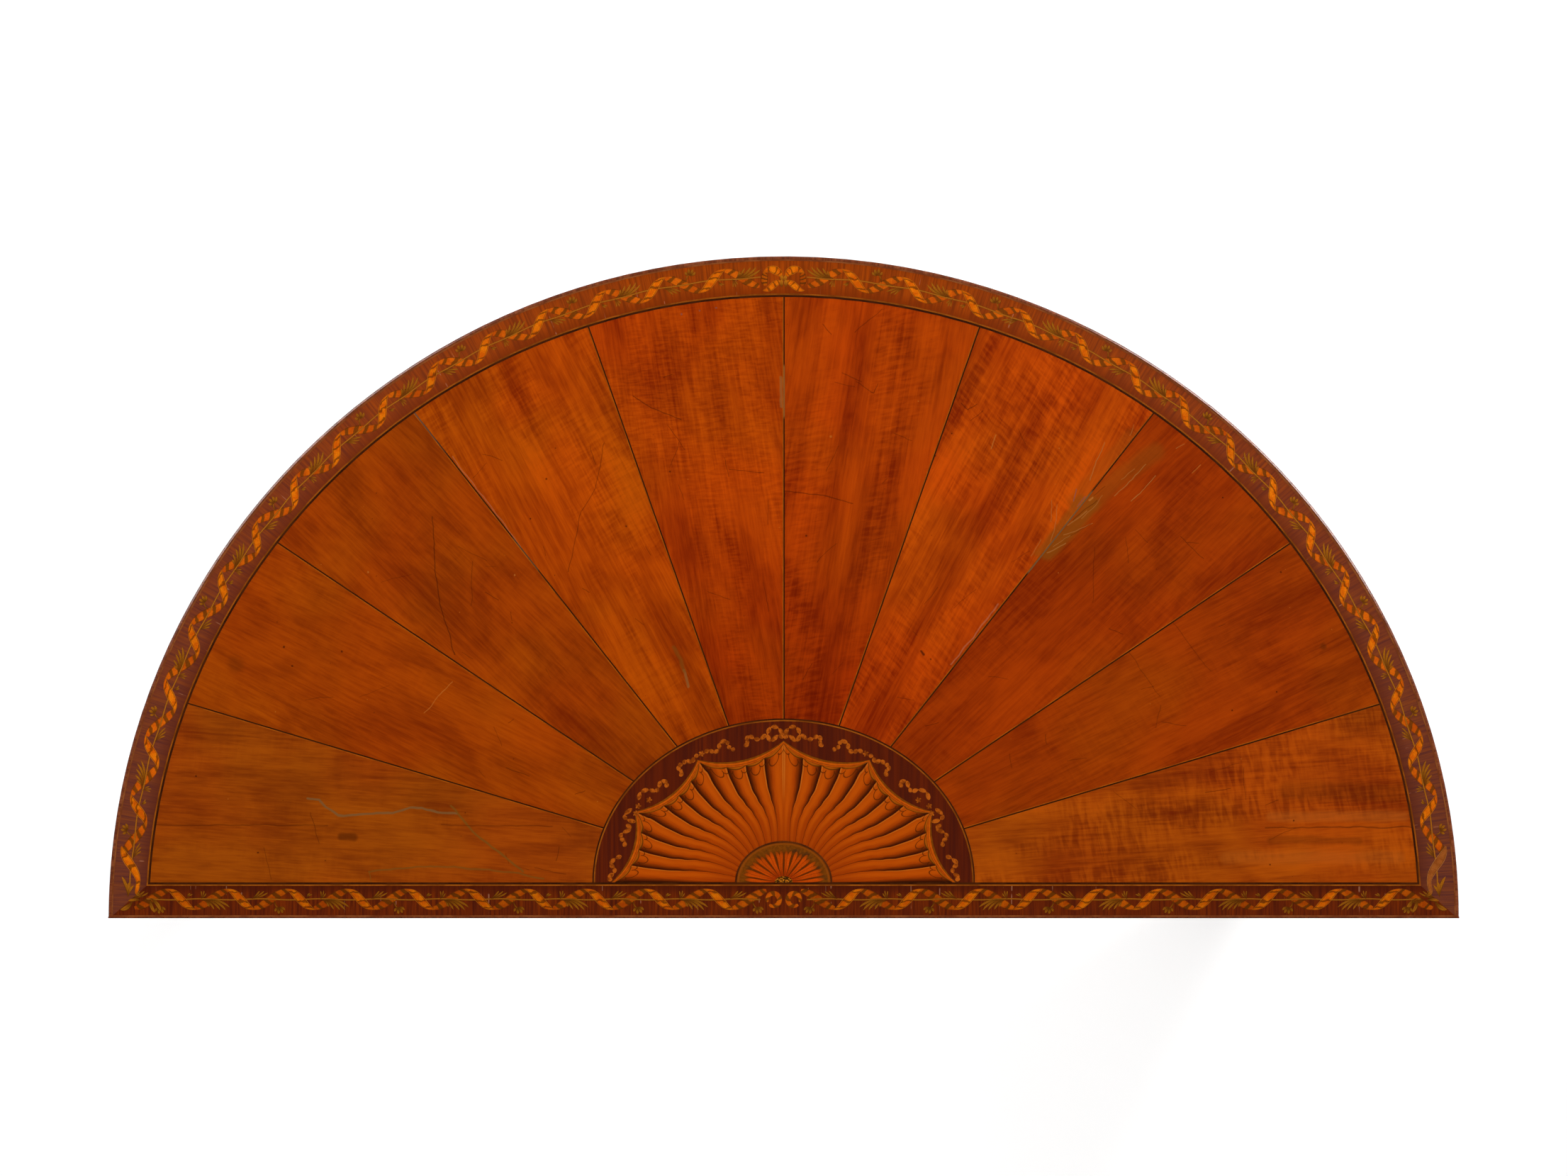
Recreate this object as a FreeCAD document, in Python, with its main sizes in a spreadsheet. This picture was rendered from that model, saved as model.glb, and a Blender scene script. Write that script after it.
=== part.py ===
import FreeCAD, Part
import Sketcher
import math
import os

# Demilune side table in satinwood and kingwood, in millimetres.
# +Z is up, the floor is z = 0, the curved front faces -Y and the straight back faces +Y.
# The top is half an ellipse whose centre is on the middle of its back edge.

SIZES = {
    # The whole table
    "table_height": 850.0,
    "top_half_width": 610.0,
    "top_depth": 598.0,
    "top_thickness": 22.0,
    "veneer": 1.2,
    # Edge of the top
    "edge_lip": 3.0,
    "edge_round": 2.0,
    "back_strip": 1.4,
    # Border of the top, from the edge inwards
    "outer_line": 1.2,
    "curved_band": 29.6,
    "back_band": 26.6,
    "box_line": 1.3,
    "ebony_line": 1.9,
    # Rays between the satinwood panels
    "ray_ebony": 1.2,
    "ray_box": 0.8,
    # Half patera at the back of the field
    "shell_half_width": 155.8,
    "shell_rise": 128.0,
    "ground_side": 14.5,
    "ground_front": 17.5,
    "patera_box": 1.2,
    "patera_ebony": 1.3,
    "swag_drop": 9.0,
    "swag_line": 2.2,
    "flute_sway": 2.0,
    "rosette_half_width": 43.9,
    "rosette_rise": 37.4,
    "rosette_line": 1.6,
    # Frieze under the top
    "overhang": 24.0,
    "frieze_height": 92.0,
    "frieze_core": 24.0,
    "frieze_band": 11.0,
    "frieze_line": 1.3,
    # Legs
    "leg_square": 44.0,
    "leg_proud": 2.5,
    "leg_ankle": 23.0,
    "spade_square": 33.0,
    "spade_toe": 25.0,
    "spade_height": 95.0,
    "spade_shoulder": 9.0,
    "front_leg_angle": 55.0,
    "bridle_slot": 12.0,
    # Frame at the back
    "back_inset": 5.0,
    "back_rail_thickness": 22.0,
    "back_rail_setback": 3.0,
    "tenon_thickness": 9.0,
    "tenon_length": 20.0,
    "tenon_shoulder": 12.0,
    "brace_thickness": 24.0,
    "brace_height": 66.0,
    "housing_depth": 6.0,
    # Glue blocks and screws that hold the top down
    "block_length": 48.0,
    "block_side": 20.0,
    "screw_length": 42.0,
    "screw_bite": 12.0,
    "screw_radius": 2.3,
    "screw_head_radius": 4.6,
    "screw_head_height": 2.8,
    "pocket_radius": 8.0,
    "pocket_angle": 15.0,
}

# Counts that the ornament and the lamination are set out by
PANEL_COUNT = 10
SWAG_COUNT = 6
FLUTES_PER_SWAG = 4
FLUTE_STEPS = 8
TOP_BOARD_NAMES = ["top_board_back", "top_board_middle", "top_board_front"]
COURSE_COUNT = 4
BRICKS_PER_COURSE = 6
HALF_TURN = 180.0

# Where blocks and pocket screws stand round the frieze, in degrees along its ellipse
BLOCK_ANGLES = [15.0, 41.0, 69.0, 111.0, 139.0, 165.0]
POCKET_ANGLES = [28.0, 80.0, 100.0, 152.0]

# Where a flute's lines start and end, as shares of the way from the patera's centre to the points
FLUTE_START = 0.2
FLUTE_END = 1.1

# How far a cutting tool runs past what it cuts, and the most of a wall that rounding may take
PAST = "10"
WALL_SHARE = "0.8"

doc = FreeCAD.newDocument("demilune_table")

sheet = doc.addObject("Spreadsheet::Sheet", "Sizes")
for row, (alias, value) in enumerate(SIZES.items(), start=1):
    sheet.set(f"A{row}", alias)
    sheet.set(f"B{row}", str(value))
    sheet.setAlias(f"B{row}", alias)
doc.recompute()

sub_parts = []


def keep(thing):
    """Marks a finished object as one of the table's pieces."""
    sub_parts.append(thing)
    return thing


def bind(thing, expressions):
    """Ties properties of an object to the sheet."""
    for path, expression in expressions.items():
        thing.setExpression(path, expression)


def add(parts):
    """Sum of several expressions."""
    return " + ".join(f"({part})" for part in parts)


def sizes(*names):
    """Sum of several named sizes."""
    return add([f"Sizes.{name}" for name in names])


# Levels and lines that many pieces share
BACK_Y = "Sizes.top_depth / 2"
VENEER_Z = "Sizes.table_height - Sizes.veneer"
UNDERSIDE_Z = "Sizes.table_height - Sizes.top_thickness"
FRIEZE_Z = "Sizes.table_height - Sizes.top_thickness - Sizes.frieze_height"
FRAME_BACK_Y = "Sizes.top_depth / 2 - Sizes.back_inset"
RAIL_FRONT_Y = f"{FRAME_BACK_Y} - Sizes.back_rail_setback - Sizes.back_rail_thickness"


def block(name, low, size):
    """A box from its low corner, both given as three expressions."""
    box = doc.addObject("Part::Box", name)
    bind(box, {"Length": size[0], "Width": size[1], "Height": size[2]})
    bind(box, dict(zip(("Placement.Base.x", "Placement.Base.y", "Placement.Base.z"), low)))
    return box


def ellipse_prism(name, centre_y, half_width, rise, bottom, height):
    """A whole elliptical slab, its centre on the middle line of the table."""
    outline = doc.addObject("Part::Ellipse", f"{name}_outline")
    bind(outline, {
        "MajorRadius": f"max({half_width}; {rise})",
        "MinorRadius": f"min({half_width}; {rise})",
        "Placement.Rotation.Angle": f"({half_width}) >= ({rise}) ? 0 : 90",
        "Placement.Base.y": centre_y,
        "Placement.Base.z": bottom,
    })
    prism = doc.addObject("Part::Extrusion", name)
    prism.Base = outline
    prism.DirMode = "Custom"
    prism.Dir = FreeCAD.Vector(0, 0, 1)
    prism.Solid = True
    bind(prism, {"LengthFwd": height})
    return prism


def pie(name, centre_y, bottom, height, start, sweep):
    """A sector that opens towards the front, its angles counted from +X round to -X."""
    sector = doc.addObject("Part::Cylinder", name)
    bind(sector, {
        "Radius": "Sizes.top_half_width + Sizes.top_depth",
        "Height": height,
        "Angle": sweep,
        "Placement.Base.y": centre_y,
        "Placement.Base.z": bottom,
        "Placement.Rotation.Angle": f"-(({start}) + ({sweep}))",
    })
    return sector


def boolean(kind, name, base, tool):
    result = doc.addObject(f"Part::{kind}", name)
    result.Base = base
    result.Tool = tool
    return result


def cut(name, base, tool):
    return boolean("Cut", name, base, tool)


def common(name, base, tool):
    return boolean("Common", name, base, tool)


def fuse(name, pieces):
    result = doc.addObject("Part::MultiFuse", name)
    result.Shapes = pieces
    return result


def group(name, pieces):
    """Separate solids of one kind that share a name."""
    result = doc.addObject("Part::Compound", name)
    result.Links = pieces
    return result


def half_plate(name, centre_y, half_width, rise, back_y, bottom, height):
    """The part of an elliptical slab that lies in front of a straight back line."""
    prism = ellipse_prism(f"{name}_prism", centre_y, half_width, rise, bottom, height)
    front = block(
        f"{name}_front",
        (f"-({half_width}) - {PAST}", f"({centre_y}) - ({rise}) - {PAST}", f"({bottom}) - {PAST}"),
        (f"2 * ({half_width}) + 2 * {PAST}",
         f"({back_y}) - ({centre_y}) + ({rise}) + {PAST}",
         f"({height}) + 2 * {PAST}"),
    )
    return common(name, prism, front)


def inset_plate(name, curve_inset, back_inset, bottom, height):
    """A plate of the top's own outline, set in from its curve and from its back."""
    return half_plate(
        name, BACK_Y,
        f"Sizes.top_half_width - ({curve_inset})", f"Sizes.top_depth - ({curve_inset})",
        f"{BACK_Y} - ({back_inset})", bottom, height,
    )


def sides(whole, base_name, suffixes=("right", "left")):
    """The two halves of a piece that is seamed on the middle line."""
    halves = []
    for suffix, low_x in zip(suffixes, ("0", "-Sizes.top_half_width - " + PAST)):
        side = block(
            f"{base_name}_{suffix}_side",
            (low_x, f"-Sizes.top_depth / 2 - {PAST}", "0"),
            (f"Sizes.top_half_width + {PAST}", f"Sizes.top_depth + 2 * {PAST}",
             f"Sizes.table_height + {PAST}"),
        )
        halves.append(common(f"{base_name}_{suffix}", whole, side))
    return halves


def on_curve(inset, angle):
    """Point on the ellipse set in from the top's edge, and the way it faces."""
    half_width = f"(Sizes.top_half_width - ({inset}))"
    rise = f"(Sizes.top_depth - ({inset}))"
    x = f"{half_width} * cos({angle})"
    y = f"{BACK_Y} - {rise} * sin({angle})"
    facing = f"-atan2({half_width} * sin({angle}); {rise} * cos({angle}))"
    return x, y, facing


def plane(body, role):
    """One of the body's own origin planes."""
    for feature in body.Origin.OriginFeatures:
        if feature.Role == role:
            return feature
    raise ValueError(f"no plane {role}")


def rectangle(body, name, width, depth, offset):
    """A level rectangle about a point of the body, all sizes given as expressions."""
    sketch = body.newObject("Sketcher::SketchObject", name)
    sketch.AttachmentSupport = [(plane(body, "XY_Plane"), "")]
    sketch.MapMode = "FlatFace"
    bind(sketch, dict(zip(
        ("AttachmentOffset.Base.x", "AttachmentOffset.Base.y", "AttachmentOffset.Base.z"), offset)))
    corners = [FreeCAD.Vector(x, y, 0) for x, y in ((-5, -5), (5, -5), (5, 5), (-5, 5))]
    for index in range(4):
        sketch.addGeometry(Part.LineSegment(corners[index], corners[(index + 1) % 4]), False)
    for index in range(4):
        sketch.addConstraint(Sketcher.Constraint("Coincident", index, 2, (index + 1) % 4, 1))
    for index in (0, 2):
        sketch.addConstraint(Sketcher.Constraint("Horizontal", index))
    for index in (1, 3):
        sketch.addConstraint(Sketcher.Constraint("Vertical", index))
    sketch.addConstraint(Sketcher.Constraint("Symmetric", 0, 1, 1, 2, -1, 1))
    for label, kind, line, expression in (
        ("across", "DistanceX", 0, width),
        ("deep", "DistanceY", 1, depth),
    ):
        number = sketch.addConstraint(Sketcher.Constraint(kind, line, 1, line, 2, 10.0))
        sketch.renameConstraint(number, label)
        sketch.setExpression(f"Constraints.{label}", expression)
    return sketch


def pad(body, name, width, depth, offset, height):
    """Adds an upright block, from its foot at the offset."""
    feature = body.newObject("PartDesign::Pad", name)
    feature.Profile = rectangle(body, f"{name}_sketch", width, depth, offset)
    bind(feature, {"Length": height})
    return feature


def pocket(body, name, width, depth, offset, height):
    """Cuts an upright hole downwards, from its head at the offset."""
    feature = body.newObject("PartDesign::Pocket", name)
    feature.Profile = rectangle(body, f"{name}_sketch", width, depth, offset)
    bind(feature, {"Length": height})
    return feature


def taper(body, name, upper, upper_z, lower, lower_z):
    """Adds a square length that tapers from one level to another."""
    feature = body.newObject("PartDesign::AdditiveLoft", name)
    feature.Profile = rectangle(body, f"{name}_upper", upper, upper, ("0", "0", upper_z))
    feature.Sections = [rectangle(body, f"{name}_lower", lower, lower, ("0", "0", lower_z))]
    feature.Ruled = True
    return feature


# Legs, with the die at the head, the taper and the spade foot.
# In a leg's own axes +X is its outer face.
def leg(name, x, y, facing):
    body = doc.addObject("PartDesign::Body", name)
    bind(body, {
        "Placement.Base.x": x,
        "Placement.Base.y": y,
        "Placement.Rotation.Angle": facing,
    })
    pad(
        body, f"{name}_die", "Sizes.leg_square", "Sizes.leg_square", ("0", "0", FRIEZE_Z),
        "Sizes.frieze_height",
    )
    shoulder_z = "Sizes.spade_height - Sizes.spade_shoulder"
    taper(body, f"{name}_taper", "Sizes.leg_square", FRIEZE_Z, "Sizes.leg_ankle", "Sizes.spade_height")
    taper(body, f"{name}_shoulder", "Sizes.leg_ankle", "Sizes.spade_height", "Sizes.spade_square", shoulder_z)
    taper(body, f"{name}_spade", "Sizes.spade_square", shoulder_z, "Sizes.spade_toe", "0")
    return body


CORE_MIDDLE = f"{sizes('overhang', 'veneer')} + Sizes.frieze_core / 2"
MORTISE_TOP_Z = f"{UNDERSIDE_Z} - Sizes.tenon_shoulder"
MORTISE_HEIGHT = "Sizes.frieze_height - 2 * Sizes.tenon_shoulder"

# The front legs are bridled over the frieze: an open slot takes the rail's tongue
front_leg_inset = "Sizes.overhang - Sizes.leg_proud + Sizes.leg_square / 2"
slot_from_axis = f"({front_leg_inset}) - ({CORE_MIDDLE})"
front_legs = []
for name, angle in (
    ("leg_front_right", "Sizes.front_leg_angle"),
    ("leg_front_left", f"({HALF_TURN} - Sizes.front_leg_angle)"),
):
    body = leg(name, *on_curve(front_leg_inset, angle))
    pocket(
        body, f"{name}_bridle", "Sizes.bridle_slot", f"Sizes.leg_square + 2 * {PAST}",
        (slot_from_axis, "0", UNDERSIDE_Z), "Sizes.frieze_height",
    )
    front_legs.append(keep(body))

# The back legs are mortised for the end of the frieze and for the back rail
back_leg_x = "(Sizes.top_half_width - Sizes.overhang + Sizes.leg_proud - Sizes.leg_square / 2)"
back_leg_y = f"{FRAME_BACK_Y} - Sizes.leg_square / 2"
rail_from_axis = "(Sizes.leg_square / 2 - Sizes.back_rail_setback - Sizes.back_rail_thickness / 2)"
frieze_from_axis = "Sizes.leg_square / 2 - Sizes.leg_proud - Sizes.veneer - Sizes.frieze_core / 2"
mortise_from_axis = f"(Sizes.leg_square / 2 - Sizes.tenon_length / 2 + {PAST} / 2)"
back_legs = []
for name, side, facing in (("leg_back_right", "1", "0"), ("leg_back_left", "-1", f"{HALF_TURN}")):
    body = leg(name, f"{side} * {back_leg_x}", back_leg_y, facing)
    pocket(
        body, f"{name}_frieze_mortise", "Sizes.tenon_thickness", f"Sizes.tenon_length + {PAST}",
        (frieze_from_axis, f"-({side}) * {mortise_from_axis}", MORTISE_TOP_Z), MORTISE_HEIGHT,
    )
    pocket(
        body, f"{name}_rail_mortise", f"Sizes.tenon_length + {PAST}", "Sizes.tenon_thickness",
        (f"-{mortise_from_axis}", f"({side}) * {rail_from_axis}", MORTISE_TOP_Z), MORTISE_HEIGHT,
    )
    back_legs.append(keep(body))

# Centre brace on edge, housed in the back rail and in the frieze
brace_back_y = f"{RAIL_FRONT_Y} + Sizes.housing_depth"
brace_front_y = (
    f"{BACK_Y} - Sizes.top_depth + {sizes('overhang', 'veneer', 'frieze_core')} - Sizes.housing_depth"
)
brace_bottom_z = f"{UNDERSIDE_Z} - Sizes.brace_height"
brace = doc.addObject("PartDesign::Body", "centre_brace_board")
pad(
    brace, "centre_brace_blank", "Sizes.brace_thickness", f"({brace_back_y}) - ({brace_front_y})",
    ("0", f"(({brace_back_y}) + ({brace_front_y})) / 2", brace_bottom_z), "Sizes.brace_height",
)

# Back rail, tenoned into the back legs and housed for the brace
rail_y = f"{RAIL_FRONT_Y} + Sizes.back_rail_thickness / 2"
rail_length = f"2 * ({back_leg_x} - Sizes.leg_square / 2)"
rail = doc.addObject("PartDesign::Body", "back_rail_board")
pad(
    rail, "back_rail_blank", rail_length, "Sizes.back_rail_thickness",
    ("0", rail_y, FRIEZE_Z), "Sizes.frieze_height",
)
pad(
    rail, "back_rail_tenons", f"{rail_length} + 2 * Sizes.tenon_length", "Sizes.tenon_thickness",
    ("0", rail_y, f"{FRIEZE_Z} + Sizes.tenon_shoulder"), MORTISE_HEIGHT,
)
pocket(
    rail, "back_rail_housing", "Sizes.brace_thickness", f"Sizes.housing_depth + {PAST}",
    ("0", f"{RAIL_FRONT_Y} + (Sizes.housing_depth - {PAST}) / 2", UNDERSIDE_Z), "Sizes.brace_height",
)


# Pocket screws. Each is drawn upright about the point where its axis meets the underside
# of the top, leaned by the pocket angle, and then turned to face out through the rail.
def leaned(name, upright, lean, x, y, facing):
    tilted = group(f"{name}_tilted", [upright])
    tilted.Placement = FreeCAD.Placement(FreeCAD.Vector(), FreeCAD.Rotation(FreeCAD.Vector(0, 1, 0), 1))
    bind(tilted, {"Placement.Rotation.Angle": lean})
    stood = group(name, [tilted])
    bind(stood, {
        "Placement.Base.x": x,
        "Placement.Base.y": y,
        "Placement.Base.z": UNDERSIDE_Z,
        "Placement.Rotation.Angle": facing,
    })
    return stood


HEAD_Z = "Sizes.screw_bite - Sizes.screw_length"


def screw(name, lean, x, y, facing):
    """A countersunk wood screw, its head down."""
    shank = doc.addObject("Part::Cylinder", f"{name}_shank")
    bind(shank, {
        "Radius": "Sizes.screw_radius",
        "Height": "Sizes.screw_length - Sizes.screw_radius",
        "Placement.Base.z": HEAD_Z,
    })
    tip = doc.addObject("Part::Cone", f"{name}_tip")
    bind(tip, {
        "Radius1": "Sizes.screw_radius",
        "Radius2": "0",
        "Height": "Sizes.screw_radius",
        "Placement.Base.z": "Sizes.screw_bite - Sizes.screw_radius",
    })
    head = doc.addObject("Part::Cone", f"{name}_head")
    bind(head, {
        "Radius1": "Sizes.screw_head_radius",
        "Radius2": "Sizes.screw_radius",
        "Height": "Sizes.screw_head_height",
        "Placement.Base.z": HEAD_Z,
    })
    return leaned(name, fuse(f"{name}_upright", [shank, tip, head]), lean, x, y, facing)


def gouge(name, lean, x, y, facing):
    """The round pocket below a screw's head, long enough to leave the rail."""
    well = doc.addObject("Part::Cylinder", f"{name}_well")
    bind(well, {
        "Radius": "Sizes.pocket_radius",
        "Height": "Sizes.frieze_height",
        "Placement.Base.z": f"{HEAD_Z} - Sizes.frieze_height",
    })
    return leaned(name, well, lean, x, y, facing)


screw_places = {"frieze": [], "rail": [], "brace": []}
for angle in POCKET_ANGLES:
    screw_places["frieze"].append(("Sizes.pocket_angle", *on_curve(CORE_MIDDLE, str(angle))))
for side in ("1", "-1"):
    rail_screw_x = f"{side} * {back_leg_x} / 2"
    screw_places["rail"].append(("Sizes.pocket_angle", rail_screw_x, rail_y, "90"))
for third in ("1", "2"):
    brace_screw_y = f"({brace_front_y}) + (({brace_back_y}) - ({brace_front_y})) * {third} / 3"
    screw_places["brace"].append(("0", "0", brace_screw_y, "0"))

screws = []
screw_cuts = {}
for rail_name, places in screw_places.items():
    tools = []
    for number, place in enumerate(places, start=1):
        fastener = screw(f"screw_{rail_name}_{number}", *place)
        screws.append(fastener)
        tools.append(fastener)
        tools.append(gouge(f"pocket_{rail_name}_{number}", *place))
    screw_cuts[rail_name] = fuse(f"screw_cuts_{rail_name}", tools)

keep(group("top_screws", screws))
keep(cut("back_rail", rail, screw_cuts["rail"]))
keep(cut("centre_brace", brace, screw_cuts["brace"]))

# Frieze rail: a curved ring jointed to the legs, brace and screws, then built up of bricks.
# Its ends run on into the back legs as far as the mortises go.
ring_inset = sizes("overhang", "veneer")
ring_end = "Sizes.back_inset + Sizes.leg_square - Sizes.tenon_length"
ring = cut(
    "frieze_ring",
    inset_plate("frieze_ring_outer", ring_inset, ring_end, FRIEZE_Z, "Sizes.frieze_height"),
    inset_plate("frieze_ring_inner", f"{ring_inset} + Sizes.frieze_core", f"-{PAST}", FRIEZE_Z,
                "Sizes.frieze_height"),
)
joints = fuse("frieze_joints", front_legs + back_legs + [brace, screw_cuts["frieze"]])
jointed_ring = cut("frieze_jointed_ring", ring, joints)

course_height = f"Sizes.frieze_height / {COURSE_COUNT}"
brick_angle = HALF_TURN / BRICKS_PER_COURSE
for course in range(COURSE_COUNT):
    course_z = f"{FRIEZE_Z} + {course_height} * {course}"
    stagger = brick_angle / 2 if course % 2 else 0.0
    ends = [brick_angle * number + stagger for number in range(BRICKS_PER_COURSE)]
    ends = sorted(set([0.0] + ends + [HALF_TURN]))
    bricks = []
    for number, (start, stop) in enumerate(zip(ends, ends[1:]), start=1):
        brick_name = f"frieze_brick_{course + 1}_{number}"
        sector = pie(f"{brick_name}_sector", BACK_Y, course_z, course_height, str(start), str(stop - start))
        bricks.append(common(brick_name, jointed_ring, sector))
    keep(group(f"frieze_course_{course + 1}", bricks))

# Frieze veneer, a satinwood sheet between kingwood bands, with a box line beside each band
skin = cut(
    "frieze_skin",
    inset_plate("frieze_skin_outer", "Sizes.overhang", ring_end, FRIEZE_Z, "Sizes.frieze_height"),
    inset_plate("frieze_skin_inner", ring_inset, f"-{PAST}", FRIEZE_Z, "Sizes.frieze_height"),
)
jointed_skin = cut("frieze_jointed_skin", skin, fuse("frieze_legs", front_legs + back_legs))


def skin_level(name, bottom, height):
    """The frieze veneer between two heights."""
    level = block(
        f"{name}_level",
        ("-Sizes.top_half_width", "-Sizes.top_depth / 2", bottom),
        ("2 * Sizes.top_half_width", "Sizes.top_depth", height),
    )
    return common(name, jointed_skin, level)


band_top_z = f"{FRIEZE_Z} + Sizes.frieze_band"
upper_band_z = f"{UNDERSIDE_Z} - Sizes.frieze_band"
keep(group("frieze_banding", [
    skin_level("frieze_lower_band", FRIEZE_Z, "Sizes.frieze_band"),
    skin_level("frieze_upper_band", upper_band_z, "Sizes.frieze_band"),
]))
keep(group("frieze_box_lines", [
    skin_level("frieze_lower_line", band_top_z, "Sizes.frieze_line"),
    skin_level("frieze_upper_line", f"{upper_band_z} - Sizes.frieze_line", "Sizes.frieze_line"),
]))
frieze_sheet_z = f"{band_top_z} + Sizes.frieze_line"
frieze_sheet_height = "Sizes.frieze_height - 2 * Sizes.frieze_band - 2 * Sizes.frieze_line"
frieze_sheet = skin_level("frieze_sheet", frieze_sheet_z, frieze_sheet_height)
leg_sight_angle = (
    f"atan2((Sizes.top_depth - ({front_leg_inset})) * sin(Sizes.front_leg_angle);"
    f" (Sizes.top_half_width - ({front_leg_inset})) * cos(Sizes.front_leg_angle))"
)
centre_sweep = f"{HALF_TURN} deg - 2 * {leg_sight_angle}"
for name, start, sweep in (
    ("frieze_panel_right", "0 deg", leg_sight_angle),
    ("frieze_panel_centre", leg_sight_angle, centre_sweep),
    ("frieze_panel_left", f"{HALF_TURN} deg - {leg_sight_angle}", leg_sight_angle),
):
    sector = pie(f"{name}_sector", BACK_Y, frieze_sheet_z, frieze_sheet_height, start, sweep)
    keep(common(name, frieze_sheet, sector))

# Glue blocks under the top, against the frieze and against the back rail
blocks = []
block_z = f"{UNDERSIDE_Z} - Sizes.block_side"
rail_face = sizes("overhang", "veneer", "frieze_core")
for number, angle in enumerate(BLOCK_ANGLES, start=1):
    x, y, facing = on_curve(rail_face, str(angle))
    blank = doc.addObject("Part::Box", f"glue_block_blank_{number}")
    bind(blank, {
        "Length": f"Sizes.block_side + {PAST}",
        "Width": "Sizes.block_length",
        "Height": "Sizes.block_side",
        "Placement.Base.x": "-Sizes.block_side",
        "Placement.Base.y": "-Sizes.block_length / 2",
    })
    stood = group(f"glue_block_stood_{number}", [blank])
    bind(stood, {
        "Placement.Base.x": x,
        "Placement.Base.y": y,
        "Placement.Base.z": block_z,
        "Placement.Rotation.Angle": facing,
    })
    blocks.append(cut(f"glue_block_{number}", stood, ring))
for number, side in enumerate(("1", "-1"), start=len(BLOCK_ANGLES) + 1):
    blocks.append(block(
        f"glue_block_{number}",
        (f"{side} * {back_leg_x} / 4 - Sizes.block_length / 2",
         f"{RAIL_FRONT_Y} - Sizes.block_side", block_z),
        ("Sizes.block_length", "Sizes.block_side", "Sizes.block_side"),
    ))
keep(group("glue_blocks", blocks))

# Core of the top: three boards glued edge to edge, bored for the screws
core = inset_plate(
    "top_core", "Sizes.edge_lip", "Sizes.back_strip", UNDERSIDE_Z, "Sizes.top_thickness - Sizes.veneer",
)
bored_core = cut("top_core_bored", core, fuse("top_screw_holes", screws))
core_depth = "(Sizes.top_depth - Sizes.edge_lip - Sizes.back_strip)"
board_width = f"{core_depth} / {len(TOP_BOARD_NAMES)}"
for number, name in enumerate(TOP_BOARD_NAMES, start=1):
    board_y = f"{BACK_Y} - Sizes.back_strip - {board_width} * {number}"
    strip = block(
        f"{name}_strip",
        ("-Sizes.top_half_width", board_y, UNDERSIDE_Z),
        ("2 * Sizes.top_half_width", board_width, "Sizes.top_thickness"),
    )
    keep(common(name, bored_core, strip))

# Edge of the top: a rounded lipping round the curve, and a thin strip along the back
lip = cut(
    "edge_lipping_square",
    inset_plate("edge_lipping_outer", "0", "Sizes.back_strip", UNDERSIDE_Z, "Sizes.top_thickness"),
    inset_plate("edge_lipping_inner", "Sizes.edge_lip", f"-{PAST}", UNDERSIDE_Z, "Sizes.top_thickness"),
)
doc.recompute()
lipping = doc.addObject("PartDesign::Body", "edge_lipping")
lipping.BaseFeature = lip
doc.recompute()
outer_reach = sheet.top_half_width - sheet.edge_lip / 2
outer_edges = []
for number, edge in enumerate(lip.Shape.Edges, start=1):
    box = edge.BoundBox
    if box.ZLength < sheet.veneer / 2 and box.XLength > 2 * outer_reach:
        outer_edges.append(f"Edge{number}")
nosing = lipping.newObject("PartDesign::Fillet", "edge_lipping_nosing")
nosing.Base = (lipping.Group[0], outer_edges)
bind(nosing, {"Radius": f"min(Sizes.edge_round; {WALL_SHARE} * Sizes.edge_lip)"})
keep(lipping)

back_edge = inset_plate("top_outline", "0", "0", UNDERSIDE_Z, "Sizes.top_thickness")
back_zone = block(
    "back_strip_zone",
    ("-Sizes.top_half_width", f"{BACK_Y} - Sizes.back_strip", UNDERSIDE_Z),
    ("2 * Sizes.top_half_width", "Sizes.back_strip", "Sizes.top_thickness"),
)
keep(common("back_edge_strip", back_edge, back_zone))

# Veneers of the top, let in beside each other: nested outlines, each set in from the last
curve_insets = ["edge_lip", "outer_line", "curved_band", "box_line", "ebony_line"]
back_insets = ["back_strip", "outer_line", "back_band", "box_line", "ebony_line"]
plates = []
for count in range(1, len(curve_insets) + 1):
    plates.append(inset_plate(
        f"veneer_plate_{count}", sizes(*curve_insets[:count]), sizes(*back_insets[:count]),
        VENEER_Z, "Sizes.veneer",
    ))

keep(cut("outer_box_line", plates[0], plates[1]))
border = cut("border_whole", plates[1], plates[2])
keep(cut("border_box_line", plates[2], plates[3]))
keep(cut("border_ebony_line", plates[3], plates[4]))
field = plates[4]

# The border is mitred where the curve meets the back, and seamed on the middle line
mitre_inset = sizes(*curve_insets[:3])
mitre_back = sizes(*back_insets[:3])
mitre_half_width = (
    f"(Sizes.top_half_width - ({mitre_inset}))"
    f" * sqrt(1 - (({mitre_back}) / (Sizes.top_depth - ({mitre_inset})))^2)"
)
mitre = doc.addObject("Part::Wedge", "border_mitre")
mitre.Placement = FreeCAD.Placement(FreeCAD.Vector(), FreeCAD.Rotation(FreeCAD.Vector(0, 0, 1), HALF_TURN))
bind(mitre, {
    "Xmin": "-Sizes.top_half_width", "Xmax": "Sizes.top_half_width",
    "Ymin": "0", "Ymax": mitre_back,
    "Zmin": "0", "Zmax": "Sizes.veneer",
    "X2min": f"-({mitre_half_width})", "X2max": mitre_half_width,
    "Z2min": "0", "Z2max": "Sizes.veneer",
    "Placement.Base.y": BACK_Y, "Placement.Base.z": VENEER_Z,
})
for half in sides(cut("border_curve", border, mitre), "border_curved"):
    keep(half)
for half in sides(common("border_straight", border, mitre), "border_back"):
    keep(half)

# Half patera, centred on the back line of the field
FIELD_Y = f"{BACK_Y} - ({sizes(*back_insets)})"


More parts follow.
